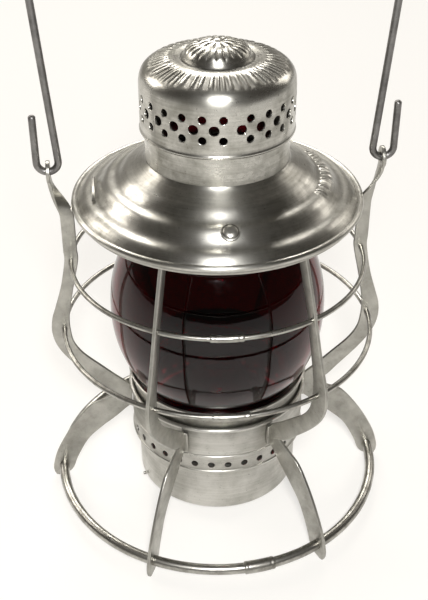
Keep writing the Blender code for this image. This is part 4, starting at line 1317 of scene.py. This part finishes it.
# --- fount, burner and wick ---------------------------------------------------------------------------
@dataclass
class Fount:
    """The oil can that twists out from below, with its cap and the burner that stands in it."""

    def build(self, finishes: Finishes) -> None:
        """Build and dress every piece that turns with the fount, and the wick gear."""
        put("oil_can", self.can(), finishes.can_tin, "fount", Slot.TIN, "fount_can")
        cap = Turned([(0.0, 38.5), (4.8, 38.5), (4.8, 42.4), (7.0, 42.4), (7.0, 45.4), (6.2, 46.0),
                      (0.0, 46.0)], columns=72, centre=(0.0, 24.0))
        put("oil_cap", cap.build(), finishes.brass, "fount", Slot.BRASS, "filler_cap")
        put("bayonet_stud", self.stud(), finishes.wire_tin, "fount", Slot.STRIP, "fount_stud")
        collar = Turned([(9.7, 38.5), (11.1, 38.5), (11.1, 42.4), (13.6, 42.4), (13.6, 43.3), (11.1, 43.6),
                         (11.1, 47.0), (9.7, 47.0)], ease=0.2, columns=96)
        put("screw_collar", collar.build(), finishes.brass, "fount", Slot.BRASS, "burner_collar")
        bowl = np.array([(9.4, 40.0), (9.4, 47.4), (12.0, 49.0), (16.5, 51.0), (17.2, 53.0), (17.2, 57.0)])
        cup = Turned(np.concatenate([bowl, offset_inwards(bowl, 0.8)[::-1]]), ease=0.2, columns=96)
        put("burner_cup", cup.build(), finishes.brass, "fount", Slot.BRASS, "burner_body")
        put("flame_dome", self.flame_dome(), finishes.brass, "fount", Slot.BRASS, "flame_deflector")
        put("wick_guide", self.tube(), finishes.brass, "fount", Slot.BRASS, "wick_tube")
        put("spindle_wheel", self.spindle(), finishes.brass, "wick_spindle", Slot.BRASS, "wick_spindle")
        put("thumb_wheel", self.knob(), finishes.brass, "wick_spindle", Slot.BRASS, "wick_knob")
        wick = self.bar((0.0, 0.0), 12.8, 1.9, 12.0, 65.0, edge=0.6)
        put("flat_wick", wick, finishes.cotton, "wick", Slot.WICK, "wick")

    def stud(self) -> Surface:
        """Spin the small stud and stand it out of the can's wall."""
        pin = revolve(soften([(0.0, 0.0), (0.8, 0.0), (0.8, 1.6), (0.0, 1.6)], 0.3, closed=False), 24)
        return to_azimuth(turned_about(pin, "Y", 90.0, (42.0, 0.0, 9.2)), -71.0)

    def can(self) -> Surface:
        """Spin the can: rolled foot, plain wall, stepped shoulder and the domed top."""
        outer = soften([(0.0, 7.9), (37.2, 7.9), (38.6, 6.3), (40.6, 6.3), (41.6, 7.6), (42.0, 32.7),
                        (41.4, 33.3), (37.0, 33.3), (36.0, 34.3), (36.0, 40.4), (35.0, 41.4), (11.5, 42.0)],
                       0.5, closed=False)
        return revolve(np.concatenate([outer, offset_inwards(outer, 0.8)[::-1]]), 200)

    def flame_dome(self) -> Surface:
        """Spin the dome over the wick and draw its opening out to an oval slot that the wick clears.

        Between the opening and the shoulder each ring becomes an ellipse; its two half-axes run linearly from
        those of the slot to the shoulder's radius. Heights then follow the dome's profile at the new radius.
        """
        opening, shoulder = 3.2, 14.0
        half_length, half_width = 7.8, 2.5
        profile = smooth([(17.0, 57.4), (16.6, 60.5), (14.0, 64.5), (9.5, 67.0), (opening, 67.9)], 4)
        outline = soften(np.concatenate([profile, offset_inwards(profile, 0.7)[::-1]]), 0.15)
        dome = revolve(outline, 192)
        x, y, z = dome.points.T
        radius, angle = np.hypot(x, y), np.arctan2(y, x)
        known, heights = [opening, shoulder, 20.0], profile[::-1]
        x = np.interp(radius, known, [half_length, shoulder, 20.0]) * np.cos(angle)
        y = np.interp(radius, known, [half_width, shoulder, 20.0]) * np.sin(angle)
        drop = np.interp(np.hypot(x, y), *heights.T) - np.interp(radius, *heights.T)
        dome.points[:] = stack(x, y, z + drop)
        return dome

    def bar(self, centre: tuple[float, float], width: float, thickness: float, low: float, high: float,
            edge: float = 0.2) -> Surface:
        """Stand a flat bar upright between two heights.

        Args:
            centre: where it stands.
            width, thickness: along X and Y.
            low, high: its two ends.
            edge: radius of its long edges.
        Returns:
            The closed bar.
        """
        return flat_bar(stack(*centre, np.linspace(low, high, 24)), width, thickness, edge)

    def tube(self) -> Surface:
        """Join the four walls of the wick tube; the one behind leaves a window for the feed wheel."""
        walls = [self.bar((0.0, y), 15.6, 0.8, low, high)
                 for y, low, high in ((-1.8, 37.0, 63.0), (1.8, 37.0, 50.0), (1.8, 58.0, 63.0))]
        for side in (-1.0, 1.0):
            walls.append(self.bar((7.4 * side, 0.0), 0.76, 4.36, 37.0, 63.0))
            walls.append(self.bar((5.7 * side, 1.8), 4.1, 0.76, 49.8, 58.2))
        return join(walls)

    def toothed(self, outline: Sequence[tuple[float, float]], ease: float, columns: int, teeth: int,
                depth: float) -> Surface:
        """Spin a wheel on the spindle's axis; its radius rises and falls once for each tooth.

        Args:
            outline: (radius, place along the axis) points.
            ease: how far from a corner its rounding starts.
            columns: how many facets go round.
            teeth: how many.
            depth: of a tooth, as a share of the radius.
        Returns:
            The closed wheel.
        """
        wheel = revolve(soften(outline, ease, closed=False), columns)
        angle = np.arctan2(wheel.points[:, 1], wheel.points[:, 0])
        wheel.points[:, :2] *= (1.0 + depth * np.cos(teeth * angle))[:, None]
        return turned_about(wheel, "Y", 90.0, SPINDLE)

    def spindle(self) -> Surface:
        """Join the shaft and its toothed feed wheel."""
        wheel = self.toothed([(0.0, -2.5), (2.7, -2.5), (2.7, 2.5), (0.0, 2.5)], 0.2, 96, 16, 0.08)
        return join([rod(1.1, -5.0, 22.0, SPINDLE), wheel])

    def knob(self) -> Surface:
        """Spin the thumb wheel with its knurled rim."""
        outline = [(0.0, 22.4), (2.0, 22.4), (5.2, 22.9), (5.2, 25.6), (4.0, 26.2), (0.0, 26.2)]
        return self.toothed(outline, 0.25, 160, 32, 0.035)


# --- bail ---------------------------------------------------------------------------------------------
@dataclass
class Bail:
    """The carrying bail: two open hooks through the eyes, leaning arms and a rounded grip."""

    wire: float = 1.7
    hook: float = 4.9
    lean: float = 0.078
    shoulder: float = 300.0
    top: float = 385.0

    def build(self, finishes: Finishes) -> None:
        """Carry a round section along the bail's centreline and round off its cut ends."""
        path = self.centreline()
        reach = np.concatenate([[0.0], np.cumsum(np.linalg.norm(np.diff(path, axis=0), axis=1))])
        end = np.clip(np.minimum(reach, reach[-1] - reach) / 1.2, 0.0, 1.0)
        radius = self.wire * np.maximum(np.sqrt(1.0 - (1.0 - end) ** 2), 0.25)
        surface = carry(path, round_section(radius, 24), Y_AXIS)
        put("bail_wire", surface, finishes.bail_steel, "bail", Slot.BAIL, "bail")

    def centreline(self) -> Array:
        """Return the bail's centreline: hook, arm and half the arch, then the same mirrored."""
        start = EYE_HEIGHT + self.hook
        short = np.array([0.0, 0.25, 0.6, 1.1, 3.0, 6.0, 10.0, 14.0, 18.0, 23.0])
        outer_arm = stack(EYE_RADIUS + self.hook, start + short[-1] - short)
        bend = arc(EYE_RADIUS, start, self.hook, 0.0, -180.0, 30)
        rise = np.linspace(3.0, self.shoulder - start, 30)
        arm = stack(EYE_RADIUS - self.hook + self.lean * rise, start + rise)
        angle = np.radians(np.linspace(3.0, 90.0, 48))
        tall = self.top - self.shoulder
        arch = stack(arm[-1, 0] * np.cos(angle), self.shoulder + tall * np.sin(angle))
        half = np.concatenate([outer_arm, bend[1:], arm, arch])
        both = np.concatenate([half, half[-2::-1] * np.array([-1.0, 1.0])])
        return stack(both[:, 0], 0.0, both[:, 1])


# --- studio -------------------------------------------------------------------------------------------
@dataclass
class Studio:
    """A pale table and backdrop, soft lights and the camera.

    Attributes:
        floor, glow, glow_strength: the table's colour and the light it gives back.
        reach: half the table's side, in metres.
        gap: mm between the table and the feet.
        dark_room, pale_room: what the metal mirrors, in front and behind.
        backdrop: what the camera sees past the table.
        lens: focal length in mm.
        eye: the camera's place in metres.
        turn: the camera's rotation in degrees; 90 about X would look straight ahead.
    """

    floor: str = "#9b9994"
    glow: str = "#fffdfa"
    glow_strength: float = 0.64
    reach: float = 6.0
    gap: float = 0.2
    dark_room: str = "#4b4844"
    pale_room: str = "#7b7771"
    backdrop: str = "#dcd9d2"
    lens: float = 62.7
    eye: tuple[float, float, float] = (-0.0446, -0.4317, 0.4017)
    turn: tuple[float, float, float] = (56.05, 0.04, -5.71)

    def build(self) -> None:
        """Set up the floor, the surroundings, the lights and the camera."""
        self.table()
        self.surroundings()
        self.lights()
        self.camera()

    def table(self) -> None:
        """Lay a wide pale sheet under the lantern."""
        mesh = bpy.data.meshes.new("table")
        half = self.reach
        mesh.from_pydata([(-half, -half, 0.0), (half, -half, 0.0), (half, half, 0.0), (-half, half, 0.0)], [],
                         [(0, 1, 2, 3)])
        material, tree, shader = new_material("matt_cream_card")
        # The card glows a little, in place of the light that a larger room would send back to it.
        feed(tree, shader, {"Base Color": linear(self.floor), "Roughness": 0.85,
                            "Emission Color": linear(self.glow), "Emission Strength": self.glow_strength})
        mesh.materials.append(material)
        table = bpy.data.objects.new("table", mesh)
        table.location.z = -self.gap * MM
        bpy.context.scene.collection.objects.link(table)

    def surroundings(self) -> None:
        """Show a pale backdrop, and give the metal a room that is paler behind and dark in front."""
        world = bpy.data.worlds.new("room")
        world.use_nodes = True
        tree = world.node_tree
        tree.nodes.clear()
        direction = add_node(tree, "TexCoord").outputs["Generated"]
        depth = add_node(tree, "SeparateXYZ", {0: direction}).outputs["Y"]
        behind = add_node(tree, "MapRange", [depth, 0.0, 0.95], interpolation_type="SMOOTHSTEP")
        shade = add_node(tree, "MixRGB", [behind, linear(self.dark_room), linear(self.pale_room)])
        room = add_node(tree, "Background", {"Color": shade})
        backdrop = add_node(tree, "Background", {"Color": linear(self.backdrop)})
        seen = add_node(tree, "LightPath").outputs["Is Camera Ray"]
        either = add_node(tree, "MixShader", {0: seen, 1: room, 2: backdrop})
        add_node(tree, "OutputWorld", {"Surface": either})
        bpy.context.scene.world = world
        bpy.context.scene.view_settings.view_transform = "Standard"

    def area(self, name: str, location: Sequence[float], target: Sequence[float], size: tuple[float, float],
             power: float, colour: str) -> None:
        """Hang one rectangular light that looks at a target.

        Args:
            name: of the light.
            location, target: in metres.
            size: its two sides in metres.
            power: in watts.
            colour: as #rrggbb.
        """
        light = bpy.data.lights.new(name, "AREA")
        light.shape = "RECTANGLE"
        light.size, light.size_y = size
        light.energy = power
        light.color = linear(colour)[:3]
        lamp = bpy.data.objects.new(name, light)
        lamp.location = location
        lamp.rotation_euler = (Vector(target) - Vector(location)).to_track_quat("-Z", "Y").to_euler()
        bpy.context.scene.collection.objects.link(lamp)

    def lights(self) -> None:
        """Hang a soft light behind, one at each side and a small bright one in front."""
        centre = (0.0, 0.0, 0.15)
        self.area("back_light", (0.0, 1.2, 1.3), centre, (0.9, 0.5), 14.0, "#fffcf7")
        self.area("left_fill", (-1.1, 0.7, 0.9), centre, (0.6, 0.6), 8.0, "#fffaf3")
        self.area("right_fill", (1.1, 0.7, 0.8), centre, (0.6, 0.6), 2.8, "#fffaf3")
        self.area("viewer_light", (-0.03, -0.52, 0.53), centre, (0.09, 0.09), 5.0, "#ffffff")

    def camera(self) -> None:
        """Set the camera: it stands in front, a little to the left, and looks 34 degrees down."""
        data = bpy.data.cameras.new("camera")
        data.lens = self.lens
        data.clip_start = 0.01
        camera = bpy.data.objects.new("camera", data)
        camera.location = self.eye
        camera.rotation_euler = np.radians(self.turn)
        bpy.context.scene.collection.objects.link(camera)
        bpy.context.scene.camera = camera


def main() -> None:
    """Dress the lantern and set up the studio."""
    logging.basicConfig(level=logging.INFO, format="%(name)s %(message)s")
    finishes = Finishes.make()
    for assembly in (GuardFrame(), GlobeSeat(), RubyGlobe(), Lid(), SmokeDome(), Fount(), Bail()):
        LOG.info("building %s", type(assembly).__name__)
        assembly.build(finishes)
    Studio().build()


if __name__ == "__main__":
    main()
